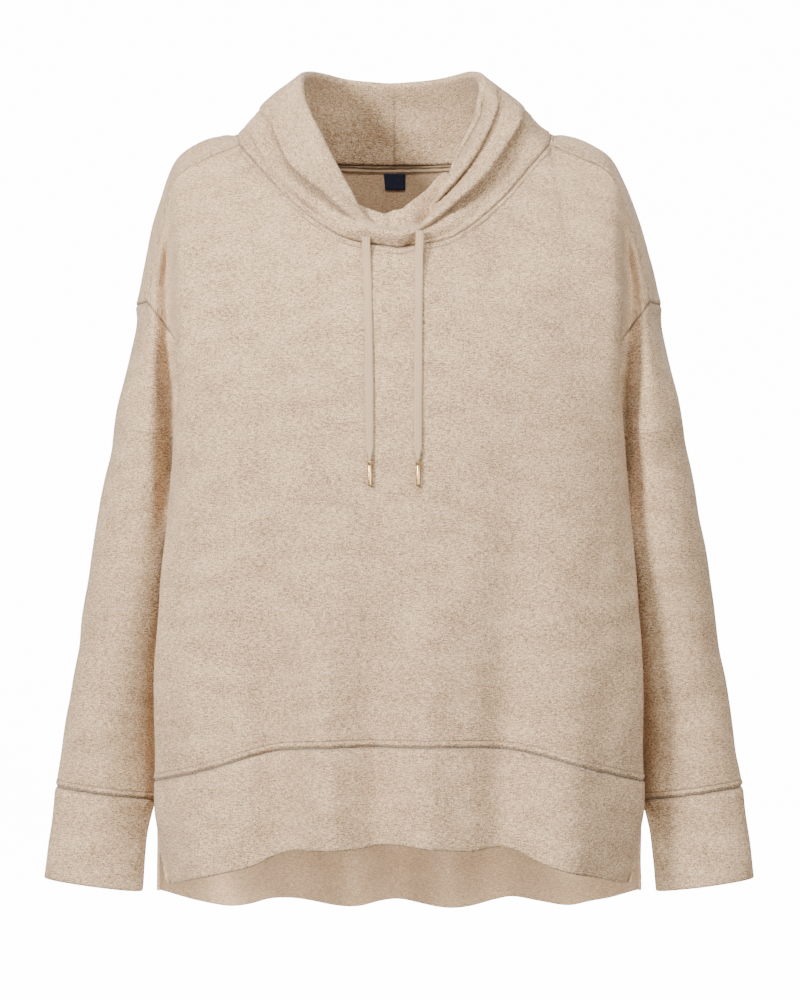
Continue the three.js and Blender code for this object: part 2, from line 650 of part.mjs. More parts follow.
function pocketBag(front, side) {
  const line = curve(POCKET_LINE.map((row) => new THREE.Vector3(row.section, row.guide, 0)));
  const places = steps(0, POCKET_LINE.length - 1, POCKET_STEPS).concat(POCKET_LINE.length - 1).map((t) => {
    const { x: section, y: guide } = line(t);
    const row = (section / UNDERARM) * SIDE_STEPS;
    return steps(guide, POCKET_SIDE, POCKET_STEPS).concat(POCKET_SIDE)
      .map((u) => [row, columnAt(side * u)]);
  });
  return layInside(front, places, FLEECE / 2 + POCKET_GAP + POCKET_CLOTH / 2);
}

function neckTape(back) {
  const top = back.grid.length - 1;
  const first = COLUMNS.indexOf(-HALF_COLUMNS[NECK_COLUMN - TAPE_ENDS]);
  const columns = COLUMNS.slice(first, COLUMNS.length - first).map((_, i) => first + i);
  const places = [1, TAPE_TOP].map((t) => columns.map((c) => {
    const reach = TAPE_WIDTH / back.grid[top][c].distanceTo(back.grid[top - 1][c]);
    return [top - reach * t, c];
  }));
  return layInside(back, places, FLEECE / 2 + LAY_GAP + TAPE / 2);
}

function neckLabel(back) {
  const top = back.grid.length - 1;
  const middle = (COLUMNS.length - 1) / 2;
  const row = back.grid[top][middle].distanceTo(back.grid[top - 1][middle]);
  const column = back.grid[top][middle].distanceTo(back.grid[top][middle + 1]);
  const start = TAPE_WIDTH + LABEL_DROP;
  const places = [start + LABEL_HEIGHT, start + LABEL_HEIGHT / 2, start].map((down) => (
    [-0.5, 0, 0.5].map((t) => [top - down / row, middle + (t * LABEL_WIDTH) / column])
  ));
  return layInside(back, places, FLEECE / 2 + LAY_GAP + TAPE / 2);
}

function cordGeometry(route) {
  const path = new THREE.CatmullRomCurve3(route.map(vector));
  const frames = path.computeFrenetFrames(CORD_STEPS, false);
  const wideFirst = Math.abs(frames.normals[0].x) > Math.abs(frames.binormals[0].x);
  const half = [CORD_WIDTH, CORD_THICK].map((size) => size / 2 / Math.cos(Math.PI / CORD_SIDES));
  const [first, second] = wideFirst ? half : [...half].reverse();
  const section = new THREE.Shape(steps(0, 2 * Math.PI, CORD_SIDES).map((angle) => {
    const turned = angle + Math.PI / CORD_SIDES;
    return new THREE.Vector2(first * Math.cos(turned), second * Math.sin(turned));
  }));
  return new THREE.ExtrudeGeometry(section, {
    steps: CORD_STEPS,
    bevelEnabled: false,
    extrudePath: path,
  });
}

function tipMesh(name, route) {
  const [x, y, z] = route[route.length - 1];
  const geometry = new THREE.CylinderGeometry(TIP_RADIUS, TIP_RADIUS * 0.9, TIP_LENGTH, 12);
  const mesh = new THREE.Mesh(geometry, brass());
  mesh.name = name;
  mesh.rotation.x = Math.PI / 2;
  mesh.position.set(x, y, z - SEAM_GAP - TIP_LENGTH / 2);
  return mesh;
}

const fleece = () => new THREE.MeshStandardMaterial({ color: 0xcdbdaa, roughness: 0.95, metalness: 0 });
const cord = () => new THREE.MeshStandardMaterial({ color: 0xd8c9b4, roughness: 0.8, metalness: 0 });
const navy = () => new THREE.MeshStandardMaterial({ color: 0x232a3d, roughness: 0.6, metalness: 0 });
const brass = () => new THREE.MeshStandardMaterial({ color: 0xb98d4f, roughness: 0.35, metalness: 1 });

function clothMesh(name, layer, thickness, material = fleece()) {
  const geometry = wall(layer.grid, layer.normals, layer.closed ?? false, thickness);
  const mesh = new THREE.Mesh(geometry, material);
  mesh.name = name;
  return mesh;
}

function settle(pieces) {
  pieces.forEach((piece) => piece.grid.flat().forEach((p) => {
    p.x += NECK_SHIFT * smooth((p.z - SHIFT_STARTS) / -SHIFT_STARTS);
    p.x += RIM_SHIFT * smooth(p.z / RIM_HEIGHT);
  }));
}

function sweatshirt() {
  const frontGrid = panel(FRONT, frontNeckline, frontArmhole);
  const backGrid = panel(BACK, backNeckline, backArmhole);
  const copyRow = (row) => row.map((p) => p.clone());
  const frontBand = band(copyRow(frontGrid[0]), FRONT_BAND, FRONT_SLIT);
  const backBand = band(copyRow(backGrid[0]), BACK_BAND, BACK_SLIT);
  const plain = sleeveGrid();
  const sleeves = { left: plain, right: plain.map(copyRow) };
  [frontGrid, frontBand].forEach((grid) => wave(grid, FRONT_FOLDS, -1));
  [backGrid, backBand].forEach((grid) => wave(grid, BACK_FOLDS, 1));
  sleeveFolds(sleeves.left, 1);
  sleeveFolds(sleeves.right, -1);
  sleeves.right = sleeves.right.map((row) => row.map(mirror));
  const cuffs = {
    left: cuffGrid(sleeves.left[sleeves.left.length - 1]),
    right: cuffGrid(sleeves.right[sleeves.right.length - 1].map(mirror)).map((row) => row.map(mirror)),
  };
  const ends = { first: true, last: true };
  const sewnRows = BAND_ROWS.indexOf(SEWN_SIDE);
  const pieces = {
    front: { grid: frontGrid, sewn: { ...ends, sides: [0, frontGrid.length - 1] } },
    back: { grid: backGrid, sewn: { ...ends, sides: [0, backGrid.length - 1] } },
    hem_band_front: { grid: frontBand, sewn: { first: true, sides: [0, sewnRows] }, thick: DOUBLE_FLEECE },
    hem_band_back: { grid: backBand, sewn: { first: true, sides: [0, sewnRows] }, thick: DOUBLE_FLEECE },
    sleeve_left: { grid: sleeves.left, closed: true, sewn: ends },
    sleeve_right: { grid: sleeves.right, closed: true, sewn: ends },
    cuff_left: { grid: cuffs.left, closed: true, sewn: { first: true }, thick: DOUBLE_FLEECE },
    cuff_right: { grid: cuffs.right, closed: true, sewn: { first: true }, thick: DOUBLE_FLEECE },
    collar: { grid: collarGrid(), closed: true, sewn: { first: true } },
  };
  settle(Object.values(pieces));
  shareNormals(Object.values(pieces));
  Object.values(pieces).forEach(drawBack);
  const group = new THREE.Group();
  Object.entries(pieces).forEach(([name, piece]) => {
    group.add(clothMesh(name, piece, piece.thick ?? FLEECE));
  });
  group.add(clothMesh('pocket_bag_left', pocketBag(pieces.front, 1), POCKET_CLOTH));
  group.add(clothMesh('pocket_bag_right', pocketBag(pieces.front, -1), POCKET_CLOTH));
  group.add(clothMesh('neck_tape', neckTape(pieces.back), TAPE));
  group.add(clothMesh('neck_label', neckLabel(pieces.back), TAPE, navy()));
  Object.entries(CORD_ROUTES).forEach(([name, route]) => {
    const mesh = new THREE.Mesh(cordGeometry(route), cord());
    mesh.name = name;
    group.add(mesh, tipMesh(name.replace('drawcord', 'cord_tip'), route));
  });
  return group;
}

const group = sweatshirt();

export default group;
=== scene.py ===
import math

import bpy
import numpy as np
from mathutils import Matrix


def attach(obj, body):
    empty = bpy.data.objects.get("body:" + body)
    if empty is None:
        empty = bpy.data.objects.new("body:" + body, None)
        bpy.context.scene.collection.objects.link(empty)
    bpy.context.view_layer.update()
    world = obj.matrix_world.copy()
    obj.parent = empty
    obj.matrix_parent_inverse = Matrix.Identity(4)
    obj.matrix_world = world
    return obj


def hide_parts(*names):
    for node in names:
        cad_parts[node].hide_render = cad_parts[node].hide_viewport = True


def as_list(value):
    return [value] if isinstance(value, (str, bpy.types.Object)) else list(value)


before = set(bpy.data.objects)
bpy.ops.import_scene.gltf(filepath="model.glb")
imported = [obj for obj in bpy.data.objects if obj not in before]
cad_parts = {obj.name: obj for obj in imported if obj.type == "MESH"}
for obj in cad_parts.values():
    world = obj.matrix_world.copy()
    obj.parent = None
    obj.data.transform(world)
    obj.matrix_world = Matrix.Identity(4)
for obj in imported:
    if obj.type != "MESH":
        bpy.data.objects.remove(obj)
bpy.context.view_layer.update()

# Cowl neck sweatshirt, filled out and worn by nobody. Tables are in millimetres, the scene in metres.
MM = 0.001

# Cloth and seams
FLEECE = 2.0
DOUBLE_FLEECE = 3.2
POCKET_CLOTH = 1.0
TAPE = 0.8
SEAM_GAP = 0.24
LAY_GAP = 0.6
POCKET_GAP = 0.9
SAME_POINT = 0.037
SEAM_DIP = 1.6
SEAM_DIP_WIDTH = 1.6
FAR_AWAY = 1000.0
ROUNDING = 1e-6

# How many lines of the mesh lie between two lines of the frame's grid, and the extra ones at edges
FINE_COLUMNS = 12
FINE_ROWS = 6
EDGE_LINES = (0.02, 0.045, 0.065, 0.085, 0.12, 0.185, 0.21, 0.235, 0.27)
SLEEVE_END_LINES = (0.01, 0.022, 0.032, 0.042, 0.06, 0.09, 0.102, 0.115, 0.13)

# Steps between the named guides of a panel, as in the frame
CENTRE_STEPS, NECK_STEPS, SHOULDER_STEPS, SIDE_STEPS = 5, 3, 5, 10
FRONT_ARMHOLE_STEPS, BACK_ARMHOLE_STEPS = 9, 12
NECK_COLUMN = CENTRE_STEPS + NECK_STEPS
LAST_COLUMN = NECK_COLUMN + SHOULDER_STEPS
GUIDE_OF_COLUMN = np.concatenate([
    np.linspace(0, 1, CENTRE_STEPS + 1)[:-1],
    np.linspace(1, 2, NECK_STEPS + 1)[:-1],
    np.linspace(2, 5, SHOULDER_STEPS + 1),
])
UNDERARM = 4

# How many grid steps a seam's pull reaches into its panel, as in the frame
TOP_PULL, SIDE_PULL = 5, 3

# The neck sits a little to the wearer's right.
NECK_SHIFT, RIM_SHIFT, SHIFT_STARTS, RIM_HEIGHT = -4.5, -3.0, -170.0, 55.0

# Front sections from the hem seam to the neckline: centre, mid, neck, fold, hollow, edge
FRONT = [
    [(0, -112, -556), (108, -105, -560), (172, -80, -578), (216, -40, -590), (222, -14, -592), (221, 8, -592)],
    [(0, -117, -480), (110, -109, -482), (174, -84, -495), (219, -46, -503), (215, -18, -505), (211, 6, -506)],
    [(0, -121, -395), (110, -112, -396), (173, -88, -400), (213, -50, -403), (201, -22, -404), (195, 6, -405)],
    [(0, -124, -320), (110, -114, -320), (170, -90, -322), (206, -54, -324), (190, -25, -325), (184, 5, -326)],
    [(0, -125, -255), (108, -114, -257), (166, -92, -260), (200, -60, -262), (182, -28, -262), (175, 5, -260)],
    [(0, -123, -222), (106, -113, -224), (162, -93, -230), (197, -68, -238), (193, -54, -236), (186, -42, -232)],
    [(0, -120, -188), (103, -109, -190), (159, -90, -192), (196, -74, -196), (199, -67, -197), (198, -59, -198)],
    [(0, -115, -155), (98, -101, -148), (153, -83, -140), (195, -69, -150), (204, -63, -166), (211, -56, -179)],
    [(0, -107, -130), (92, -86, -106), (148, -56, -70), (195, -53, -94), (210, -50, -134), (221, -44, -166)],
    [(0, -101, -113), (94, -72, -69), (141, -22, -14), (193, -24, -38), (211, -27, -84), (228, -28, -157)],
]

# Back sections from the hem seam up over the shoulder
BACK = [
    [(0, 101, -625), (110, 94, -621), (172, 70, -611), (210, 38, -600), (220, 20, -595), (221, 8, -592)],
    [(0, 102, -530), (110, 94, -527), (172, 70, -518), (205, 40, -511), (210, 20, -508), (211, 6, -506)],
    [(0, 104, -420), (110, 95, -418), (170, 72, -412), (197, 42, -408), (198, 20, -406), (195, 6, -405)],
    [(0, 108, -332), (110, 98, -331), (166, 74, -329), (188, 45, -327), (188, 22, -326), (184, 5, -326)],
    [(0, 112, -262), (110, 101, -262), (162, 79, -262), (180, 50, -262), (179, 24, -261), (175, 5, -260)],
    [(0, 115, -205), (108, 104, -207), (160, 86, -215), (179, 70, -224), (186, 60, -228), (190, 50, -230)],
    [(0, 114, -150), (106, 103, -152), (160, 89, -160), (187, 79, -178), (197, 73, -189), (205, 67, -198)],
    [(0, 109, -98), (105, 97, -98), (158, 84, -104), (192, 70, -127), (209, 63, -152), (222, 55, -174)],
    [(0, 103, -62), (108, 84, -55), (160, 56, -44), (199, 44, -68), (220, 36, -114), (234, 30, -163)],
    [(0, 99, -40), (114, 72, -30), (160, 14, -4), (196, 12, -22), (220, 12, -74), (240, 10, -159)],
    [(0, 95, -21), (112, 65, -11), (141, -22, -14), (193, -24, -38), (211, -27, -84), (228, -28, -157)],
]

SHOULDER_SEAM = [(141, -22, -14), (170, -23, -26), (194, -24, -39), (206, -26, -66),
                 (217, -28, -107), (228, -28, -157)]
FRONT_NECKLINE = [(0, -101, -113), (49, -96, -103), (94, -72, -69), (125, -41, -33),
                  (138, -28, -18), (141, -22, -14)]
BACK_NECKLINE = [(0, 95, -21), (50, 91, -20), (92, 78, -16), (122, 54, -8),
                 (140, 24, 0), (143, 0, -3), (141, -22, -14)]

# Hem lines from the wearer's right to the left as x and z, and how the slit ends swing
FRONT_BAND = {"inward": 13.0, "back": -44.0, "hem": [
    (-217, -683), (-203, -680), (-165, -671), (-130, -662), (-112, -654), (-95, -648.5), (-73, -647),
    (-39, -646), (-10, -642.6), (27, -645), (64, -648), (89, -645), (107, -649), (124, -658),
    (149, -667), (175, -673.5), (203, -681), (217, -683)]}
BACK_BAND = {"inward": 0.0, "back": 4.0, "hem": [
    (-224, -694), (-203, -704), (-187, -710), (-160, -715.5), (-139, -714.5), (-122, -711.5), (-96, -713),
    (-77, -716), (-58, -718.5), (-38, -718.5), (-18, -715), (-2, -714), (24, -717.5), (48, -720), (68, -719),
    (91, -714), (107, -711), (131, -713), (159, -715), (177, -711), (197, -706), (224, -694)]}
SEWN_SIDE = 0.31
# Guides between which a slit's end turns inward and swings back
TURN_FROM, TURN_OVER, SWING_FROM, SWING_OVER = 2, 1.2, 3, 2

# Upright waves of the body: place at the bottom, width, how far out, top, lean over each millimetre of height
FOLD_BOTTOM, FOLD_FOOT = -640.0, 0.02
FRONT_FOLDS = [
    (-182, 22, 8, -330, -0.03), (-102, 24, -18, -200, -0.052), (-63, 18, 9, -330, -0.05),
    (-15, 20, -15, -300, -0.054), (26, 18, 9, -300, 0.0), (90, 24, -18, -190, 0.032), (153, 24, 10, -330, 0.03),
]
# Upright hollow between the body's side and the sleeve: place, width, depth, and where it sets in
SIDE_HOLLOW = {"x": 209.0, "width": 9.0, "deep": 22.0,
               "top": (-60, -135), "foot": (-430, -300), "front": (-28, -48)}
BACK_FOLDS = [
    (-142, 26, -15, -360, 0.08), (-97, 26, 8, -420, 0.0), (-45, 24, -13, -400, -0.05), (0, 24, 9, -430, 0.0),
    (48, 24, -15, -380, 0.04), (98, 26, 9, -400, 0.0), (150, 26, -12, -350, -0.06),
]

# Sleeve and cuff sections: centre x, y, z, half width across, half depth, how much lower the inner side is
SLEEVE = [
    (221, 4, -272, 35, 61, 46), (231, 8, -330, 38.5, 56, 20), (243, 12, -400, 39.5, 51, 14),
    (253, 16, -470, 40, 44, 12), (264.5, 18, -544, 41, 35, 12), (270.2, 18, -606, 44.7, 27, 12),
]
CUFF = [
    (270.2, 18, -606, 44.7, 27, 12), (274.6, 17, -634, 43, 25, 12),
    (278.2, 16, -662, 43.5, 24, 12), (281.4, 16, -690, 44, 23, 12),
]
UNDERARM_PUSH, UNDERARM_DROP, TOP_DROP, OTHER_SIDE_TURN = 12.0, -2.0, 16.0, 0.92

# Sleeve creases: height, turn round the sleeve, reach round, width, out, slope
SLEEVE_FOLDS = [
    (-300, 0.3, 0.18, 20, -3.5, 60), (-372, 0.68, 0.16, 18, -3, -50), (-418, 0.28, 0.14, 18, -2.5, 40),
    (-468, 0.36, 0.12, 16, -2.2, -40), (-525, 0.26, 0.14, 16, -2.5, 30), (-572, 0.64, 0.14, 12, -2.5, -20),
]

# Collar rim from the front to the back, and how far the cloth bows out below it
RIM = [
    (0, -99, -95, 9), (24, -95, -90, 9), (44, -85, -57, 9), (65, -60, -16, 8), (82, -30, 24, 6),
    (85, -5, 49, 5), (76, 32, 57, 4), (46, 66, 54, 4), (0, 78, 51, 4),
]
COLLAR_GAP_LOW, COLLAR_GAP_HIGH = 3.4, 6.5
COLLAR_ROWS, ROLL_ROWS, COLLAR_INSIDE_ROWS = 62, 9, 46
BOW_LEAN = 1.25

# Rolled folds of the collar seen from the front: path, which hand the raised roll lies on,
# width, how far beyond the crease the cloth stays low, depth of the crease, lift of the roll
COLLAR_FOLDS = [
    ([(-123, 19), (-110, -14), (-90, -45), (-59, -73), (-35, -91)], 1, 6.5, 5.0, 15.0, 5.0),
    ([(-111, 18), (-108, 0), (-92, -37), (-78, -53), (-60, -66)], 1, 5.5, 4.0, 13.0, 4.5),
    ([(-134, -2), (-121, -32), (-99, -60), (-70, -84)], 1, 7.0, 5.0, 7.0, 2.5),
    ([(98, 36), (96, 18), (85, -9.5), (64, -44), (40, -70), (24, -84)], -1, 6.0, 6.0, 15.0, 5.0),
    ([(121, 18), (116, 2), (95, -33), (73, -60), (38, -88), (16, -101)], -1, 7.5, 13.0, 13.0, 6.0),
    ([(84, 34), (80, 12), (66, -16), (50, -44)], -1, 5.0, 3.0, 4.0, 1.6),
]
# The same folds as marks of 0 to 1 for their painted shade: width, beyond, depth, lift
CREASE_MARK = (8.0, 2.5, 1.0, 0.0)
# Crest of the slack inner layer behind the front rim, as x and z
ROLL_CREST = [(-62, -60), (-41, -69), (-31, -75), (-19, -80), (-8, -82), (7, -77),
              (28, -60), (38, -49), (62, -26)]
ROLL_AT, ROLL_REACH, ROLL_BACK = 0.58, 66.0, 24.0
CRUMPLE = {"x": -8, "reach": 13, "wave": 2.9, "high": 1.2, "share": 0.16}

# Pocket bags: the stitch line over the front's sections and guides
POCKET_LINE = [(1.8, 3.3), (1.5, 2.15), (1.15, 1.6), (0.75, 1.32), (0.35, 1.2), (0.05, 1.12)]
POCKET_SIDE, POCKET_LINES = 4.6, 41

# Neck tape, label, drawcord ends and tips
TAPE_WIDTH, LABEL_WIDTH, LABEL_HEIGHT = 7.5, 21.5, 15.5
CORD_WIDTH, CORD_THICK = 7.0, 2.2
TIP_LENGTH, TIP_RADIUS, TIP_GAP = 22.0, 2.0, 0.55
CORD_ROUTES = {
    "drawcord_left": [
        (18.3, -109.3, -98.5), (18.3, -109.6, -103), (18.2, -110, -110), (18, -110.6, -120),
        (17.8, -111.3, -130), (17.6, -113, -140), (17.5, -115.8, -150), (17.4, -119.1, -165),
        (17.3, -121.3, -180), (17.2, -123.1, -195), (17.1, -124.5, -210), (17, -125.7, -225),
        (16.9, -126.7, -240), (16.9, -127.4, -255), (16.8, -127.5, -270), (16.8, -127.7, -285),
        (16.8, -128, -302)],
    "drawcord_right": [
        (-29, -105.4, -104), (-29, -105.9, -108), (-28.9, -106.4, -113), (-28.6, -107.2, -122),
        (-28.2, -109.4, -131), (-27.8, -112.1, -140), (-27.4, -115, -150), (-27.1, -118.3, -165),
        (-26.8, -120.7, -180), (-26.5, -122.6, -195), (-26.3, -124.1, -210), (-26.1, -125.3, -225),
        (-25.9, -126.4, -240), (-25.8, -127.1, -255), (-25.7, -127.2, -270), (-25.7, -127.3, -285),
        (-25.7, -127.6, -302)],
}


# Numbers and curves

def smooth(t):
    s = np.clip(t, 0.0, 1.0)
    return s * s * (3.0 - 2.0 * s)


def unit(v):
    return v / np.maximum(np.linalg.norm(v, axis=-1, keepdims=True), 1e-9)


def along(points, t):
    """A smooth centripetal curve through rows of points, read where t counts the rows from 0."""
    p = np.asarray(points, float)
    t = np.clip(np.atleast_1d(np.asarray(t, float)), 0, len(p) - 1)
    first = np.minimum(t.astype(int), len(p) - 2)
    w = (t - first).reshape((-1,) + (1,) * (p.ndim - 1))
    padded = np.concatenate([[2 * p[0] - p[1]], p, [2 * p[-1] - p[-2]]])
    p0, p1, p2, p3 = (padded[first + k] for k in range(4))
    span = lambda a, b: np.sqrt(np.linalg.norm(b - a, axis=-1, keepdims=True))
    d0, d1, d2 = span(p0, p1), span(p1, p2), span(p2, p3)
    d1 = np.where(d1 < 1e-4, 1.0, d1)
    d0 = np.where(d0 < 1e-4, d1, d0)
    d2 = np.where(d2 < 1e-4, d1, d2)
    m1 = ((p1 - p0) / d0 - (p2 - p0) / (d0 + d1) + (p2 - p1) / d1) * d1
    m2 = ((p2 - p1) / d1 - (p3 - p1) / (d1 + d2) + (p3 - p2) / d2) * d1
    return p1 + m1 * w + (3 * (p2 - p1) - 2 * m1 - m2) * w ** 2 + (2 * (p1 - p2) + m1 + m2) * w ** 3


def lengths(line):
    return np.concatenate([[0.0], np.cumsum(np.linalg.norm(np.diff(line, axis=0), axis=1))])


def spaced(points, fractions):
    """Points of a smooth curve at fractions of its length."""
    t = np.linspace(0, len(points) - 1, 401)
    length = lengths(along(points, t))
    return along(points, np.interp(np.asarray(fractions) * length[-1], length, t))


def mirror(p):
    return np.asarray(p, float) * (-1, 1, 1)


def both_sides(half):
    """A whole row of guides from its left half, which starts at the centre."""
    half = np.asarray(half, float)
    return np.concatenate([mirror(half[1:][::-1]), half])


def ripple(points, scale, seed, waves=14):
    """Soft uneven swell over space, about 1 high, whose waves are about as long as scale."""
    chance = np.random.default_rng(seed)
    ways = unit(chance.normal(size=(waves, 3)))
    turns = 2 * math.pi / (scale * chance.uniform(0.75, 1.5, waves))
    phases = chance.uniform(0, 2 * math.pi, waves)
    return np.sin((points @ ways.T) * turns + phases).sum(axis=-1) / math.sqrt(waves / 2)


# Grids of middle points, as the frame has them, only finer

def fine(first, last, density, edges=True):
    """Line numbers from first to last, with extra lines close to both ends."""
    numbers = np.linspace(first, last, (last - first) * density + 1)
    extra = [first + e for e in EDGE_LINES] + [last - e for e in EDGE_LINES] if edges else []
    return np.unique(np.round(np.concatenate([numbers, extra]), 9))


columns = fine(-LAST_COLUMN, LAST_COLUMN, FINE_COLUMNS)
guides = np.sign(columns) * np.interp(np.abs(columns), np.arange(LAST_COLUMN + 1), GUIDE_OF_COLUMN)


def panel(sections, neckline, armhole_steps):
    sections = np.asarray(sections, float)
    last_section = len(sections) - 1
    top = SIDE_STEPS + armhole_steps
    rows = fine(0, top, FINE_ROWS)
    above = (rows - SIDE_STEPS) / armhole_steps
    where = np.where(above < 0, rows * UNDERARM / SIDE_STEPS, UNDERARM + above * (last_section - UNDERARM))
    lines = np.stack([along(sections[:, g], where) for g in range(sections.shape[1])])
    grid = along(both_sides(lines), guides + sections.shape[1] - 1).transpose(1, 0, 2)

    c = np.abs(columns)
    neck = spaced(neckline, np.clip(c / NECK_COLUMN, 0, 1))
    shoulder = spaced(SHOULDER_SEAM, np.clip((c - NECK_COLUMN) / SHOULDER_STEPS, 0, 1))
    seam = np.where((c <= NECK_COLUMN)[:, None], neck, shoulder)
    seam = np.where((columns < 0)[:, None], mirror(seam), seam)
    side = along(sections[:UNDERARM + 1, -1], np.clip(where, 0, UNDERARM))
    armhole = spaced(sections[UNDERARM:, -1], np.clip(above, 0, 1))
    side = np.where((above > 0)[:, None], armhole, side)

    pull = lambda distance, reach: np.clip(1 - distance / reach, 0, 1) ** 2
    grid = grid + pull(top - rows, TOP_PULL)[:, None, None] * (seam - grid[-1])[None]
    grid = grid + pull(LAST_COLUMN - columns, SIDE_PULL)[None, :, None] * (side - grid[:, -1])[:, None]
    grid = grid + pull(LAST_COLUMN + columns, SIDE_PULL)[None, :, None] * (mirror(side) - grid[:, 0])[:, None]
    return {"grid": grid, "rows": rows, "columns": columns, "side": side}


def hem_line(hem, x):
    """Height of a hem at places across, read from its table of x and z."""
    line = along([(a, 0, b) for a, b in hem], np.linspace(0, len(hem) - 1, 300))
    return np.interp(x, line[:, 0], line[:, 2])


def band(top_row, hem, inward, back):
    drops = top_row[:, 2] - hem_line(hem, top_row[:, 0])
    t = np.unique(np.concatenate([np.linspace(0, 1, 25), [0.007, 0.02, 0.98, 0.993, 0.998]]))[:, None]
    turned = smooth((np.abs(guides) - TURN_FROM) / TURN_OVER)
    near_end = smooth((np.abs(guides) - SWING_FROM) / SWING_OVER)
    opened = np.maximum(t - SEWN_SIDE, 0) / (1 - SEWN_SIDE)
    across = -np.sign(guides) * inward * turned * opened
    moves = np.stack([across, back * near_end * opened, -drops * t], axis=-1)
    return {"grid": top_row[None] + moves, "rows": t[:, 0], "columns": columns}


def wave(grid, folds, outward):
    for x, width, out, top, lean in folds:
        away = (grid[..., 0] - x - lean * (grid[..., 2] - FOLD_BOTTOM)) / width
        shape = np.maximum(np.exp(-away ** 2) - FOLD_FOOT, 0)
        grid[..., 1] += outward * out * shape * smooth((top - grid[..., 2]) / (top - FOLD_BOTTOM))


def side_hollow(grid):
    """Draws the cloth in beside the body; seam points that two pieces share move alike."""
    x, y, z = grid[..., 0], grid[..., 1], grid[..., 2]
    top, foot, front = (SIDE_HOLLOW[key] for key in ("top", "foot", "front"))
    reach = smooth((top[0] - z) / (top[0] - top[1])) * smooth((z - foot[0]) / (foot[1] - foot[0]))
    near = np.exp(-((np.abs(x) - SIDE_HOLLOW["x"]) / SIDE_HOLLOW["width"]) ** 2)
    grid[..., 1] += SIDE_HOLLOW["deep"] * near * reach * smooth((front[0] - y) / (front[0] - front[1]))


def ring(section, turns):
    x, y, z, across, deep, tilt = section
    angle = turns * 2 * math.pi
    cos, sin = np.cos(angle), np.sin(angle)
    return np.stack([x - across * cos, y - deep * sin, z - tilt / 2 * cos], axis=-1)


def sleeve(loop, turns, fold_side):
    angle = turns * 2 * math.pi
    inner = (1 + np.cos(angle)) / 2
    drop = -UNDERARM_DROP - (TOP_DROP - UNDERARM_DROP) * (1 - inner)
    push = UNDERARM_PUSH * inner
    leaving = loop + np.stack([push, push * 0.5 * np.sin(angle), drop], axis=-1)
    last = len(SLEEVE) + 1
    v = np.concatenate([[0, 0.06, 0.14, 0.25], np.linspace(0.4, 1, 5), np.linspace(1, last, 84)[1:]])
    v = np.unique(np.concatenate([v, last - np.array(SLEEVE_END_LINES)]))
    grid = along([loop, leaving] + [ring(section, turns) for section in SLEEVE], v)
    centres = np.array(SLEEVE)[:, :3]
    down = (centres[0, 2] - grid[..., 2]) / (centres[0, 2] - centres[-1, 2]) * (len(SLEEVE) - 1)
    away = grid - along(centres, down.ravel()).reshape(grid.shape)
    away[..., 2] = 0
    out = 0
    for z, turn, reach, width, depth, slope in SLEEVE_FOLDS:
        round_by = turns[None] - (turn if fold_side > 0 else OTHER_SIDE_TURN - turn)
        height = (grid[..., 2] - z - fold_side * slope * round_by) / width
        out = out + depth * np.exp(-(round_by / reach) ** 2 - height ** 2)
    fades = (smooth((v - 0.8) * 2) * smooth((last - v) / 0.4))[:, None]
    grid = grid + unit(away) * (out * fades)[..., None]
    return {"grid": grid, "closed": True}


def cuff(top_row, turns):
    t = np.unique(np.concatenate([np.linspace(0, 3, 25), [0.025, 0.06, 2.95, 2.98, 2.994]]))
    return {"grid": along([top_row] + [ring(section, turns) for section in CUFF[1:]], t), "closed": True}


def fold_field(x, z, folds):
    """How far rolled folds push a surface out at places seen from the front."""
    out = np.zeros_like(x)
    for path, hand, width, beyond, deep, lift in folds:
        line = along([(a, 0, b) for a, b in path], np.linspace(0, len(path) - 1, 40))[:, [0, 2]]
        spot = np.stack([x, z], axis=-1).reshape(-1, 2)
        gap = spot[:, None] - line[None]
        near = np.argmin((gap ** 2).sum(-1), axis=1)
        way = unit(np.gradient(line, axis=0))[near]
        gap = gap[np.arange(len(spot)), near]
        signed = hand * (way[:, 0] * gap[:, 1] - way[:, 1] * gap[:, 0])
        past = np.abs((way * gap).sum(-1))
        ends = smooth(np.minimum(near, len(line) - 1 - near) / 9 + 0.25) * np.exp(-(past / width) ** 2)
        crease = np.exp(-np.abs(signed) / np.where(signed > 0, 0.35 * width, beyond))
        shape = lift * np.exp(-((signed - width) / width) ** 2) - deep * crease
        out += (shape * ends).reshape(x.shape)
    return out


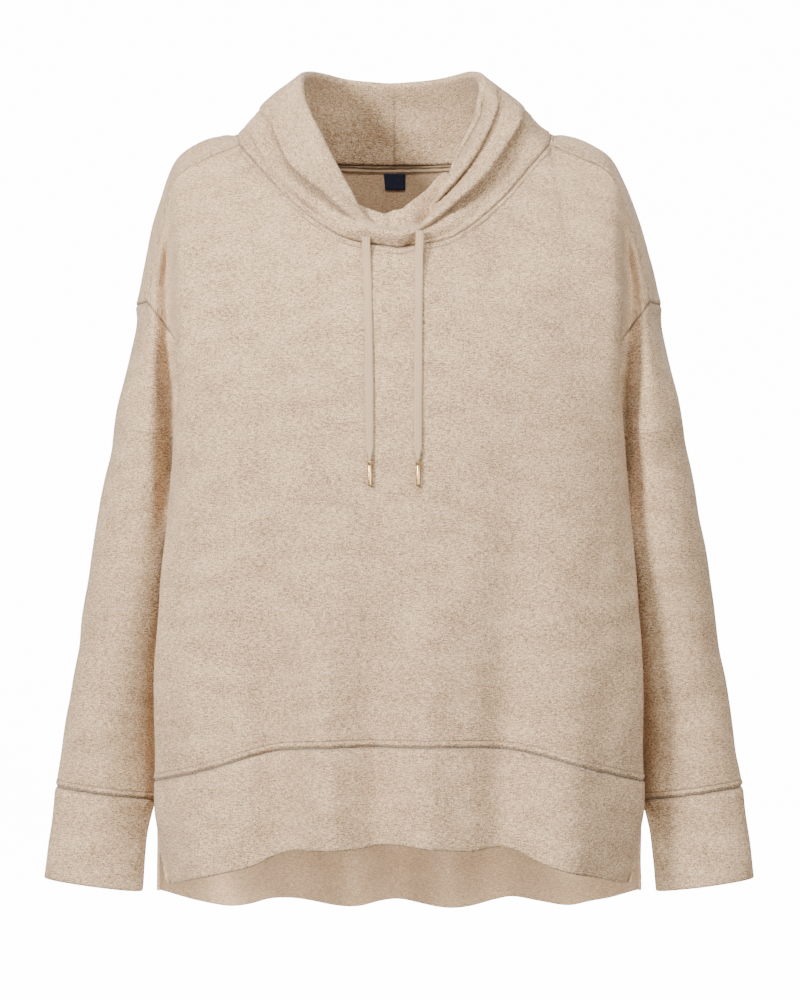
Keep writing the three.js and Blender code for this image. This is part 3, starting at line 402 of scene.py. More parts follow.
def collar():
    """Up outside, over the rim and down inside, all round from the front centre over the wearer's left."""
    q = np.arange(0, 4 * NECK_COLUMN * FINE_COLUMNS) / FINE_COLUMNS
    half = np.where(q <= 2 * NECK_COLUMN, q, 4 * NECK_COLUMN - q)
    on_front = half <= NECK_COLUMN
    neck = np.where(on_front[:, None], spaced(FRONT_NECKLINE, np.clip(half / NECK_COLUMN, 0, 1)),
                    spaced(BACK_NECKLINE, np.clip((2 * NECK_COLUMN - half) / NECK_COLUMN, 0, 1)))
    points = np.array(RIM, float)
    whole = np.concatenate([[points[1] * (-1, 1, 1, 1)], points, [points[-2] * (-1, 1, 1, 1)]])
    t = half / 2 + 1
    rim = along(whole[:, :3], t)
    bow = along([(w[3], 0, 0) for w in whole], t)[:, 0]
    flip = (q > 2 * NECK_COLUMN)[:, None]
    neck, rim = np.where(flip, mirror(neck), neck), np.where(flip, mirror(rim), rim)

    up = unit(rim - neck)
    out = (neck + rim) / 2 * (1, 1, 0)
    out = unit(unit(out) - up * (unit(out) * up).sum(-1, keepdims=True))
    s = np.unique(np.concatenate([np.linspace(0, 1, COLLAR_ROWS), [0.006, 0.015, 0.03]]))
    bowed = bow * np.sin(math.pi * s[:, None] ** BOW_LEAN)
    outer = neck + (rim - neck) * s[:, None, None] + out * bowed[..., None]
    in_front = (outer[..., 1] < 15) * smooth(s * 6)[:, None]
    push = fold_field(outer[..., 0], outer[..., 2], COLLAR_FOLDS) * in_front
    # Marks along the folds, used only for painted shade in the colour
    creases = [(path, hand, *CREASE_MARK) for path, hand, *_ in COLLAR_FOLDS]
    crease = -fold_field(outer[..., 0], outer[..., 2], creases) * in_front
    away = unit(outer * (1, 1, 0))
    normals = grid_normals(outer, True)
    rise = unit(outer[-1] - outer[-2])
    gap = COLLAR_GAP_LOW + (COLLAR_GAP_HIGH - COLLAR_GAP_LOW) * smooth(s)[:, None, None]
    sheet = outer + away * soft_floor(push)[..., None] - normals * gap
    outer = outer + away * push[..., None]
    angles = np.linspace(0, math.pi, ROLL_ROWS + 2)[1:-1, None, None]
    half = (outer[-1] - sheet[-1]) / 2
    roll = sheet[-1] + half + half * np.cos(angles) + rise * COLLAR_GAP_HIGH / 2 * np.sin(angles)
    heights = np.linspace(1, 0, COLLAR_INSIDE_ROWS)
    place = np.interp(heights, s, np.arange(len(s)))
    low = np.minimum(place.astype(int), len(s) - 2)
    part = (place - low)[:, None, None]
    inner = sheet[low] * (1 - part) + sheet[low + 1] * part
    inner = inner + slumped_roll(inner, heights)
    plain = np.zeros((ROLL_ROWS + COLLAR_INSIDE_ROWS, len(q)))
    return {"grid": np.concatenate([outer, roll, inner]), "closed": True, "rim_row": len(s) - 1,
            "crease": np.concatenate([np.clip(crease, 0, 1), plain])}


def soft_floor(field, reach=3):
    """The lowest value near each place, blurred, so that a sheet there stays behind every crease."""
    shifts = [(a, b) for a in range(2 * reach + 1) for b in range(-reach, reach + 1)]

    def around(f):
        padded = np.pad(f, ((reach, reach), (0, 0)), mode="edge")
        return [np.roll(padded[a:a + len(f)], b, axis=1) for a, b in shifts]

    return np.mean(around(np.min(around(field), axis=0)), axis=0)


def slumped_roll(inner, heights):
    """The slack inner layer stands up behind the front rim in a soft V with a crumple at its point."""
    level = np.argmin(np.abs(heights - ROLL_AT))
    x, y, z = (inner[level, :, k] for k in range(3))
    side = smooth((ROLL_REACH - np.abs(x)) / 24) * smooth((-y - 15) / 20)
    rise = np.maximum(np.interp(x, *np.transpose(ROLL_CREST)) - z, 0) * side
    off = x - CRUMPLE["x"]
    crumple = np.exp(-(off / CRUMPLE["reach"]) ** 2) * np.sin(off / CRUMPLE["wave"])
    down = 1 - heights[:, None]
    lift = (rise + CRUMPLE["high"] * crumple) * np.exp(-((down - (1 - ROLL_AT)) / 0.14) ** 2)
    back = ROLL_BACK * side * smooth(down / 0.55) * (1 - smooth((down - 0.58) / 0.4))
    back = back * (1 + CRUMPLE["share"] * crumple)
    return np.stack([np.zeros_like(lift), back, lift], axis=-1)


def grid_normals(grid, closed):
    """Normals from the grid's own faces, turned so that the first row points away from its middle."""
    g = np.concatenate([grid, grid[:, :1]], axis=1) if closed else grid
    face = np.cross(g[1:, 1:] - g[:-1, :-1], g[1:, :-1] - g[:-1, 1:])
    total = np.zeros_like(g)
    for rows in (slice(0, -1), slice(1, None)):
        for cols in (slice(0, -1), slice(1, None)):
            total[rows, cols] += face
    if closed:
        total[:, 0] += total[:, -1]
        total = total[:, :-1]
    away = grid[0] - grid[0].mean(axis=0)
    return unit(total * np.sign((total[0] * away).sum()))


def share_normals(pieces):
    """Pieces that share seam points get the same normal there."""
    own = [grid_normals(p["grid"], p.get("closed", False)) for p in pieces]
    keys = np.concatenate([np.round(p["grid"].reshape(-1, 3) / SAME_POINT).astype(np.int64) for p in pieces])
    flat = np.concatenate([n.reshape(-1, 3) for n in own])
    _, index = np.unique(keys, axis=0, return_inverse=True)
    index = index.ravel()
    total = np.zeros((index.max() + 1, 3))
    np.add.at(total, index, flat)
    shared, start = unit(total[index]), 0
    for p, n in zip(pieces, own):
        count = n.shape[0] * n.shape[1]
        p["normals"] = shared[start:start + count].reshape(n.shape)
        start += count


def edge_distances(piece):
    """Distance from each edge, measured on the cloth: first row, last row, first column, last column."""
    g = piece["grid"]
    steps = lambda axis: np.cumsum(np.linalg.norm(np.diff(g, axis=axis), axis=2), axis=axis)
    down = np.concatenate([np.zeros((1, g.shape[1])), steps(0)])
    over = np.concatenate([np.zeros((g.shape[0], 1)), steps(1)], axis=1)
    return {"first": down, "last": down[-1] - down, "left": over, "right": over[:, -1:] - over}


def side_rows(piece):
    """Which rows of a piece have their two ends sewn."""
    if "sewn_sides" not in piece:
        return np.zeros(len(piece["grid"]), bool)
    low, high = piece["sewn_sides"]
    return (piece["rows"] >= low - ROUNDING) & (piece["rows"] <= high + ROUNDING)


def sewn_distance(piece, far):
    """Distance to the nearest sewn edge, from the distances to all four."""
    best = np.full(piece["grid"].shape[:2], FAR_AWAY)
    for edge in piece["sewn"]:
        best = np.minimum(best, far[edge])
    rows = side_rows(piece)
    if rows.any():
        sides = np.minimum(far["left"], far["right"])
        best[rows] = np.minimum(best, sides)[rows]
    return best


def draw_back(piece):
    """Draws sewn edges back square to the seam, so that each clears its neighbour."""
    g, n = piece["grid"], piece["normals"]
    moved = g.copy()

    def pull(edge, inside, before, after, normal):
        way = inside - edge
        seam = unit(after - before)
        way = unit(way - seam * (way * seam).sum(-1, keepdims=True))
        way = unit(way - normal * (way * normal).sum(-1, keepdims=True))
        return way * SEAM_GAP / 2

    def around(row):
        if piece.get("closed"):
            return np.roll(row, 1, axis=0), np.roll(row, -1, axis=0)
        return np.concatenate([row[:1], row[:-1]]), np.concatenate([row[1:], row[-1:]])

    if "first" in piece["sewn"]:
        moved[0] += pull(g[0], g[1], *around(g[0]), n[0])
    if "last" in piece["sewn"]:
        moved[-1] += pull(g[-1], g[-2], *around(g[-1]), n[-1])
    rows = side_rows(piece)
    for edge, inside in ((0, 1), (-1, -2)):
        line = g[:, edge]
        before, after = np.concatenate([line[:1], line[:-1]]), np.concatenate([line[1:], line[-1:]])
        moved[rows, edge] += pull(line, g[:, inside], before, after, n[:, edge])[rows]
    piece["grid"] = moved


# Meshes

def new_mesh(name, points, faces, uv=None, attributes=None):
    mesh = bpy.data.meshes.new(name)
    mesh.from_pydata(np.asarray(points) * MM, [], [list(map(int, f)) for f in faces])
    if uv is not None:
        layer = mesh.uv_layers.new(name="cloth")
        layer.data.foreach_set("uv", (np.asarray(uv, np.float32) * MM).ravel())
    for key, values in (attributes or {}).items():
        data = mesh.attributes.new(key, "FLOAT", "POINT").data
        data.foreach_set("value", np.asarray(values, np.float32).ravel())
    mesh.polygons.foreach_set("use_smooth", np.ones(len(mesh.polygons), bool))
    mesh.update()
    piece = bpy.data.objects.new(name, mesh)
    bpy.context.scene.collection.objects.link(piece)
    return piece


def cloth_map(ext, closed, follows_seam):
    """Where the cloth of a piece lies when flat. Its courses stay level, or follow the first row."""
    far = edge_distances({"grid": ext})
    u = far["left"] - far["left"][:, far["left"].shape[1] // 2][:, None]
    if closed:
        u = np.repeat(u.mean(axis=0)[None], len(ext), axis=0)
    if follows_seam:
        return u, far["first"]
    if len(ext) > 1 and closed and ext[0, :, 2].max() - ext[0, :, 2].min() > 100:
        return u, ext[-1, :, 2] + far["last"]
    return u, ext[0, :, 2] + np.sign((ext[1] - ext[0])[:, 2].mean()) * far["first"]


def wall(name, piece, material):
    """A closed cloth wall round a grid of middle points, rounded off at its free edges."""
    g, n, closed = piece["grid"], piece["normals"], piece.get("closed", False)
    rows, wide = g.shape[:2]
    far = edge_distances(piece)
    half = piece.get("thick", FLEECE) / 2
    free = np.full((rows, wide), FAR_AWAY)
    for edge in ("first", "last"):
        if edge not in piece["sewn"]:
            free = np.minimum(free, far[edge])
    if not closed:
        open_rows = ~side_rows(piece)
        sides = np.minimum(far["left"], far["right"])
        free[open_rows] = np.minimum(free, sides)[open_rows]
    full = np.sqrt(np.clip(1 - (1 - np.minimum(free / half, 1)) ** 2, 0.12, 1)) * half
    lift = n * full[..., None]
    points = np.concatenate([(g + lift).reshape(-1, 3), (g - lift).reshape(-1, 3)])
    count = rows * wide
    ext = np.concatenate([g, g[:, :1]], axis=1) if closed else g
    u, v = cloth_map(ext, closed, name.startswith("collar"))
    i, j = np.meshgrid(np.arange(rows - 1), np.arange(ext.shape[1] - 1), indexing="ij")
    i, j = i.ravel(), j.ravel()
    corner = lambda r, c: r * wide + c % wide
    spot = lambda r, c: np.stack([u[r, c], v[r, c]], axis=-1)
    quads = [(i, j), (i, j + 1), (i + 1, j + 1), (i + 1, j)]
    faces = [np.stack([corner(*q) for q in quads], axis=1),
             np.stack([corner(*q) + count for q in quads[::-1]], axis=1)]
    uv = [np.stack([spot(*q) for q in quads], axis=1), np.stack([spot(*q) for q in quads[::-1]], axis=1)]

    def rim(line, shift):
        faces.append(np.stack([corner(*a) + (count if inner else 0) for a, inner in line], axis=1))
        uv.append(np.stack([spot(*a) + np.array(shift) * half * (2 if inner else 0)
                            for a, inner in line], axis=1))

    j = np.arange(ext.shape[1] - 1)
    first, last = np.zeros_like(j), np.full_like(j, rows - 1)
    rim([((first, j), False), ((first, j), True), ((first, j + 1), True), ((first, j + 1), False)], (0, -1))
    rim([((last, j), False), ((last, j + 1), False), ((last, j + 1), True), ((last, j), True)], (0, 1))
    if not closed:
        i = np.arange(rows - 1)
        left, right = np.zeros_like(i), np.full_like(i, wide - 1)
        rim([((i, left), False), ((i + 1, left), False), ((i + 1, left), True), ((i, left), True)], (-1, 0))
        rim([((i, right), False), ((i, right), True), ((i + 1, right), True), ((i + 1, right), False)], (1, 0))
    faces, uv = np.concatenate(faces), np.concatenate(uv)
    a, b, c, d = (points[faces[:, k]] for k in range(4))
    volume = (a * np.cross(b, c)).sum() + (a * np.cross(c, d)).sum()
    if volume < 0:
        faces, uv = faces[:, ::-1], uv[:, ::-1]
    # The seam attribute carries painted shade: seams, needle rows and collar creases drawn darker
    seam = piece.get("seam_shade", np.zeros((rows, wide)))
    inside = np.concatenate([np.zeros(count), np.ones(count)])
    shades = {"inside": inside, "seam": np.concatenate([seam.ravel()] * 2)}
    made = new_mesh(name, points, faces, uv.reshape(-1, 2), shades)
    made.data.materials.append(material)
    return made


# Materials

def linear(r, g, b):
    """A colour as seen on a screen, 0 to 255, in the shader's own measure."""
    part = [c / 255 for c in (r, g, b)]
    return tuple(c / 12.92 if c <= 0.04045 else ((c + 0.055) / 1.055) ** 2.4 for c in part) + (1.0,)


class Finish:
    """A material whose nodes are added one by one."""

    def __init__(self, name, roughness, **constants):
        self.material = bpy.data.materials.new(name)
        self.material.use_nodes = True
        self.tree = self.material.node_tree
        self.shader = self.tree.nodes["Principled BSDF"]
        self.shader.inputs["Roughness"].default_value = roughness
        for socket, value in constants.items():
            self.shader.inputs[socket.replace("_", " ")].default_value = value

    def add(self, kind, inputs=None, **settings):
        item = self.tree.nodes.new(kind)
        for key, value in settings.items():
            setattr(item, key, value)
        for key, value in (inputs or {}).items():
            if isinstance(value, bpy.types.NodeSocket):
                self.tree.links.new(value, item.inputs[key])
            else:
                item.inputs[key].default_value = value
        return item

    def maths(self, operation, *values):
        return self.add("ShaderNodeMath", dict(enumerate(values)), operation=operation).outputs[0]

    def stretched(self, place, scale):
        return self.add("ShaderNodeMapping", {"Vector": place, "Scale": scale}).outputs[0]

    def waves(self, kind, value, width):
        """A wave between 0 and 1 of the given length."""
        turn = self.maths(kind, self.maths("MULTIPLY", value, 2 * math.pi / width))
        return self.maths("MULTIPLY_ADD", turn, 0.5, 0.5)

    def cloth_place(self, across, down):
        """The piece's own cloth map, stretched so that 1 stands for the given millimetres."""
        uv = self.add("ShaderNodeUVMap", uv_map="cloth").outputs["UV"]
        return self.stretched(uv, (1 / (across * MM), 1 / (down * MM), 1))

    def object_place(self, size):
        where = self.add("ShaderNodeTexCoord").outputs["Object"]
        return self.stretched(where, (1 / (size * MM),) * 3)

    def noise(self, place, detail=2.0, roughness=0.5, shift=0.0):
        by = (shift, shift * 1.7, shift * 0.6)
        moved = self.add("ShaderNodeVectorMath", {0: place, 1: by}, operation="ADD")
        return self.add("ShaderNodeTexNoise", {"Vector": moved.outputs[0], "Scale": 1.0, "Detail": detail,
                                                "Roughness": roughness}).outputs[0]

    def ramp(self, value, stops):
        item = self.add("ShaderNodeValToRGB", {0: value})
        marks = item.color_ramp.elements
        while len(marks) < len(stops):
            marks.new(0.5)
        for mark, (place, colour) in zip(marks, stops):
            mark.position, mark.color = place, colour
        return item.outputs[0]

    def mix(self, amount, one, two, blend="MIX"):
        item = self.add("ShaderNodeMix", data_type="RGBA", blend_type=blend)
        for socket, value in ((0, amount), (6, one), (7, two)):
            if isinstance(value, bpy.types.NodeSocket):
                self.tree.links.new(value, item.inputs[socket])
            else:
                item.inputs[socket].default_value = value
        return item.outputs[2]

    def attribute(self, name):
        return self.add("ShaderNodeAttribute", attribute_name=name).outputs["Fac"]

    def colour(self, value):
        if isinstance(value, bpy.types.NodeSocket):
            self.tree.links.new(value, self.shader.inputs["Base Color"])
        else:
            self.shader.inputs["Base Color"].default_value = value

    def bump(self, height, distance, strength=1.0):
        item = self.add("ShaderNodeBump", {"Height": height, "Distance": distance * MM, "Strength": strength})
        self.tree.links.new(item.outputs[0], self.shader.inputs["Normal"])


def marl_fleece(name):
    """Brushed oatmeal marl: short flat streaks of pale and brown fibre over a soft mottled ground."""
    f = Finish(name, 0.95, Sheen_Weight=0.25, Sheen_Roughness=0.5, Sheen_Tint=linear(255, 244, 230),
               Specular_IOR_Level=0.25)
    streak = f.noise(f.cloth_place(5.0, 1.2), detail=2, roughness=0.6)
    flecks = f.noise(f.cloth_place(2.0, 0.9), detail=2, roughness=0.6, shift=31)
    speckle = f.noise(f.cloth_place(1.3, 0.95), detail=1.5, roughness=0.6, shift=7)
    cloud = f.noise(f.cloth_place(34, 16), detail=2, roughness=0.5, shift=3)
    tone = f.maths("MULTIPLY_ADD", speckle, 0.68, f.maths("MULTIPLY", cloud, 0.14))
    tone = f.maths("MULTIPLY_ADD", streak, 0.42, tone)
    ground = f.ramp(tone, [(0.47, linear(112, 90, 69)), (0.56, linear(160, 130, 98)),
                           (0.65, linear(193, 161, 125)), (0.76, linear(224, 197, 162))])
    dark = f.ramp(flecks, [(0.3, (1, 1, 1, 1)), (0.4, (0, 0, 0, 1))])
    pale = f.ramp(flecks, [(0.62, (0, 0, 0, 1)), (0.74, (1, 1, 1, 1))])
    ground = f.mix(f.maths("MULTIPLY", dark, 0.72), ground, linear(92, 77, 62))
    ground = f.mix(f.maths("MULTIPLY", pale, 0.4), ground, linear(230, 209, 178))
    # Painted shade: the inside faces are drawn darker, with half of the marl's contrast, for the garment's
    # inside lying in shade
    shaded_inside = f.mix(0.5, ground, linear(180, 148, 114))
    ground = f.mix(f.attribute("inside"), ground, shaded_inside)
    # Painted shade: the seam attribute darkens the colour at seams, needle rows and collar creases
    ground = f.mix(f.maths("MULTIPLY", f.attribute("seam"), 0.85), ground, linear(80, 62, 46))
    f.colour(ground)
    height = f.maths("MULTIPLY_ADD", speckle, 0.6, streak)
    f.bump(height, 0.4, 0.5)
    return f.material


def plain_weave(name, colours, thread_width, roughness=0.8):
    """Threads over and under, with uneven colour from thread to thread."""
    f = Finish(name, roughness, Sheen_Weight=0.15, Specular_IOR_Level=0.3)
    spot = f.add("ShaderNodeSeparateXYZ", {0: f.cloth_place(thread_width, thread_width)})
    wave_x = f.maths("SINE", f.maths("MULTIPLY", spot.outputs[0], math.pi))
    wave_y = f.maths("SINE", f.maths("MULTIPLY", spot.outputs[1], math.pi))
    over = f.maths("MULTIPLY_ADD", f.maths("MULTIPLY", wave_x, wave_y), 0.5, 0.5)
    uneven = f.noise(f.cloth_place(thread_width * 9, thread_width * 1.4), shift=5)
    tone = f.maths("MULTIPLY_ADD", uneven, 0.7, f.maths("MULTIPLY", over, 0.3))
    f.colour(f.ramp(tone, [(0.2, linear(*colours[0])), (0.8, linear(*colours[1]))]))
    f.bump(over, thread_width * 0.3, 0.8)
    return f.material


def flat_braid(name):
    """Strands that cross in chevrons along a flat cord: the map's u runs across, v along."""
    f = Finish(name, 0.85, Sheen_Weight=0.2, Specular_IOR_Level=0.25)
    spot = f.add("ShaderNodeSeparateXYZ", {0: f.cloth_place(1, 1)})
    slant = f.maths("MULTIPLY_ADD", f.maths("ABSOLUTE", spot.outputs[0]), 1.1, spot.outputs[1])
    strand = f.waves("SINE", slant, 1.9)
    rib = f.waves("COSINE", spot.outputs[0], 1.7)
    height = f.maths("MULTIPLY_ADD", strand, 0.7, f.maths("MULTIPLY", rib, 0.3))
    fuzz = f.noise(f.cloth_place(0.5, 0.9), detail=3, roughness=0.7)
    # The colour follows the strands' height: painted shade in the hollows between strands, mixed with random
    # fuzz
    tone = f.maths("MULTIPLY_ADD", height, 0.55, f.maths("MULTIPLY", fuzz, 0.5))
    stops = [(0.2, linear(126, 98, 70)), (0.5, linear(188, 158, 124)), (0.8, linear(216, 190, 156))]
    f.colour(f.ramp(tone, stops))
    f.bump(f.maths("MULTIPLY_ADD", fuzz, 0.4, height), 0.45, 0.8)
    return f.material


def brushed_brass(name):
    f = Finish(name, 0.3, Metallic=1.0)
    lines = f.noise(f.object_place(0.7), detail=2, roughness=0.6)
    f.colour(f.ramp(lines, [(0.3, linear(176, 142, 92)), (0.7, linear(214, 184, 132))]))
    f.tree.links.new(f.maths("MULTIPLY_ADD", lines, 0.2, 0.2), f.shader.inputs["Roughness"])
    return f.material


def thread(name, colours):
    f = Finish(name, 0.7, Sheen_Weight=0.1, Specular_IOR_Level=0.35)
    twist = f.noise(f.object_place(0.5), detail=2)
    f.colour(f.ramp(twist, [(0.3, linear(*colours[0])), (0.7, linear(*colours[1]))]))
    return f.material


def studio_white(name):
    """The sweep is lit from within, as a paper roll with lamps behind it is."""
    f = Finish(name, 0.9, Specular_IOR_Level=0.1, Emission_Color=(1, 1, 1, 1), Emission_Strength=14.0)
    stops = [(0.3, (0.93, 0.93, 0.93, 1)), (0.7, (0.95, 0.95, 0.945, 1))]
    f.colour(f.ramp(f.noise(f.object_place(900)), stops))
    return f.material


fleece = marl_fleece("marl_fleece")
pocket_cloth = plain_weave("pocket_jersey", [(180, 152, 124), (210, 184, 156)], 0.7)
# The tape is drawn darker than the fleece it matches: painted shade for the tape lying in shadow inside the neck
tape_cloth = plain_weave("neck_tape_twill", [(140, 112, 84), (184, 156, 124)], 0.8)
label_cloth = plain_weave("navy_label_satin", [(6, 12, 32), (14, 24, 54)], 0.35, 0.7)
cord_braid = flat_braid("flat_cord_braid")
brass = brushed_brass("brass_tip")
# Both threads are drawn darker than the cloth: their own colour plus painted shade for the needle holes and
# grooves they sink into
seam_thread = thread("seam_thread", [(158, 132, 105), (206, 180, 150)])
hole_thread = thread("buttonhole_thread", [(140, 116, 90), (172, 147, 119)])
white = studio_white("studio_sweep")


# Camera, light and stage

CAMERA_PLACE = (0.0009, -3.2, -0.3367)
FOCAL_LENGTH, SENSOR = 125.9, 36.0


def set_camera():
    data = bpy.data.cameras.new("camera")
    data.lens, data.sensor_width, data.sensor_fit = FOCAL_LENGTH, SENSOR, "AUTO"
    camera = bpy.data.objects.new("camera", data)
    camera.location = CAMERA_PLACE
    camera.rotation_euler = (math.pi / 2, 0, 0)
    bpy.context.scene.collection.objects.link(camera)
    bpy.context.scene.camera = camera


def set_light(name, place, aim, size, power):
    data = bpy.data.lights.new(name, "AREA")
    data.shape, data.size, data.energy = "DISK", size, power
    light = bpy.data.objects.new(name, data)
    way = np.subtract(aim, place)
    light.location = place
    tilt = math.acos(-way[2] / np.linalg.norm(way))
    light.rotation_euler = (tilt, 0, math.atan2(way[1], way[0]) - math.pi / 2)
    bpy.context.scene.collection.objects.link(light)


def set_world(strength):
    world = bpy.data.worlds.new("studio")
    bpy.context.scene.world = world
    world.use_nodes = True
    back = world.node_tree.nodes["Background"]
    back.inputs[0].default_value = (1, 1, 1, 1)
    back.inputs[1].default_value = strength


def set_sweep():
    """Floor and wall in one curved sheet."""
    floor, wall_y, bend, wide, front, top = -950.0, 4700.0, 900.0, 6200.0, -5200.0, 3600.0
    angles = np.linspace(0, math.pi / 2, 13)
    profile = [(front, floor)]
    profile += [(wall_y - bend + bend * math.sin(a), floor + bend - bend * math.cos(a)) for a in angles]
    profile.append((wall_y, top))
    points = [(x, y, z) for y, z in profile for x in (-wide, wide)]
    faces = [(2 * k, 2 * k + 1, 2 * k + 3, 2 * k + 2) for k in range(len(profile) - 1)]
    sweep = new_mesh("studio_sweep", points, faces)
    sweep.data.materials.append(white)
    sweep.visible_diffuse = sweep.visible_glossy = False


# Name, place, aim, size and power. The last one stands in three places and lights the inside of the back hem.
LIGHTS = [
    ("key", (-2.2, -2.5, 0.8), (0, 0, -0.3), 0.7, 258),
    ("top", (-0.5, -2.0, 2.4), (0, 0, -0.2), 0.8, 100),
    ("front_fill", (0.2, -3.6, -0.1), (0, 0, -0.35), 1.8, 24),
    ("right_fill", (2.6, -2.4, 0.2), (0, 0, -0.35), 1.4, 112),
    ("back_fill", (1.5, 3.6, 1.5), (0, 0, -0.35), 1.2, 60),
]
LIGHTS += [("under_hem", (x, -0.07, -0.735), (x, 0.1, -0.69), 0.1, 0.26) for x in (-0.13, 0.0, 0.13)]
WORLD_STRENGTH = 0.07

set_camera()
set_world(WORLD_STRENGTH)
for light in LIGHTS:
    set_light(*light)
set_sweep()


# Drawcord ends and their tips

def finish_piece(piece, slot, *nodes):
    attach(piece, "root")
    if nodes:
        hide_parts(*nodes)


def tube_faces(rows, sides):
    """Faces of rings of points, closed by a middle point at each end, which are the last two points."""
    pairs = [(j, (j + 1) % sides) for j in range(sides)]
    last = (rows - 1) * sides
    faces = [(i * sides + j, i * sides + k, (i + 1) * sides + k, (i + 1) * sides + j)
             for i in range(rows - 1) for j, k in pairs]
    faces += [(rows * sides, k, j) for j, k in pairs]
    return faces + [(rows * sides + 1, last + j, last + k) for j, k in pairs]


def cord(name, route):
    """A flat cord on its route, drawn in to a round end where it enters the tip."""
    steps, sides = 150, 24
    t = np.linspace(0, len(route) - 1, steps)
    line = along(route, t)
    length = lengths(line)
    way = unit(np.gradient(line, axis=0))
    across = unit(np.cross(way, (0, -1, 0)))
    out = np.cross(across, way)
    angle = np.linspace(0, 2 * math.pi, sides, endpoint=False)
    squared = lambda a: np.sign(a) * np.abs(a) ** 0.75
    near_tip = smooth((length - length[-1] + 11) / 9)[:, None]
    half_wide = CORD_WIDTH / 2 * (1 - near_tip) + TIP_RADIUS * 0.8 * near_tip
    half_thick = CORD_THICK / 2 * (1 - near_tip) + TIP_RADIUS * 0.8 * near_tip
    half_wide = half_wide * (1 + 0.03 * np.sin(length / 17)[:, None])
    ring_points = (line[:, None] + across[:, None] * (half_wide * squared(np.cos(angle)))[..., None]
                   + out[:, None] * (half_thick * squared(np.sin(angle)))[..., None])
    points = np.concatenate([ring_points.reshape(-1, 3), line[:1], line[-1:]])
    across_by = CORD_WIDTH / 2 * np.cos(angle)
    uv = []
    for i in range(steps - 1):
        for j in range(sides):
            k = (j + 1) % sides
            uv += [(across_by[j], length[i]), (across_by[k], length[i]),
                   (across_by[k], length[i + 1]), (across_by[j], length[i + 1])]
    uv += [(0, length[0])] * 3 * sides + [(0, length[-1])] * 3 * sides
    made = new_mesh(name, points, tube_faces(steps, sides), uv)
    made.data.materials.append(cord_braid)
    make_outward(made)
    return made, length[-1]


def make_outward(piece):
    """Turns every face of a closed mesh outwards if its volume comes out negative."""
    mesh = piece.data
    mesh.calc_loop_triangles()
    co = np.array([v.co[:] for v in mesh.vertices])
    tri = np.array([t.vertices[:] for t in mesh.loop_triangles])
    if (co[tri[:, 0]] * np.cross(co[tri[:, 1]], co[tri[:, 2]])).sum() < 0:
        mesh.flip_normals()


def cord_tip(name, end):
    """A brass tube with rolled ends, crimped once near its mouth."""
    r, length = TIP_RADIUS, TIP_LENGTH
    profile = [(0, 0.3), (r * 0.72, 0.3), (r * 0.8, 0.0), (r * 0.95, 0.05), (r, 0.35), (r, 0.9), (r * 0.97, 1.3),
               (r * 0.97, 3.2), (r * 0.87, 3.7), (r * 0.87, 4.3), (r * 0.97, 4.8), (r * 0.95, length - 1.6),
               (r * 0.93, length - 0.7), (r * 0.84, length - 0.15), (r * 0.6, length), (0, length)]
    sides = 28
    angle = np.linspace(0, 2 * math.pi, sides, endpoint=False)
    x, y, z = end
    points = [(x + a * math.cos(w), y + a * math.sin(w), z - TIP_GAP - b)
              for a, b in profile[1:-1] for w in angle]
    points += [(x, y, z - TIP_GAP - profile[0][1]), (x, y, z - TIP_GAP - length)]
    rows = len(profile) - 2
    made = new_mesh(name, points, tube_faces(rows, sides))
    made.data.materials.append(brass)
    make_outward(made)
    return made


for cord_name, route in CORD_ROUTES.items():
    tip_name = cord_name.replace("drawcord", "cord_tip")
    flat_cord, cord_length = cord(cord_name + "_braid", route)
    tip = cord_tip(tip_name + "_brass", route[-1])
    finish_piece(flat_cord, "cord", cord_name)
    finish_piece(tip, "tip", tip_name)
    path = [tuple(MM * c for c in p) for p in route]
    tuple(path[0])


# The garment

def settle(piece):
    g = piece["grid"]
    g[..., 0] += NECK_SHIFT * smooth((g[..., 2] - SHIFT_STARTS) / -SHIFT_STARTS)
    g[..., 0] += RIM_SHIFT * smooth(g[..., 2] / RIM_HEIGHT)


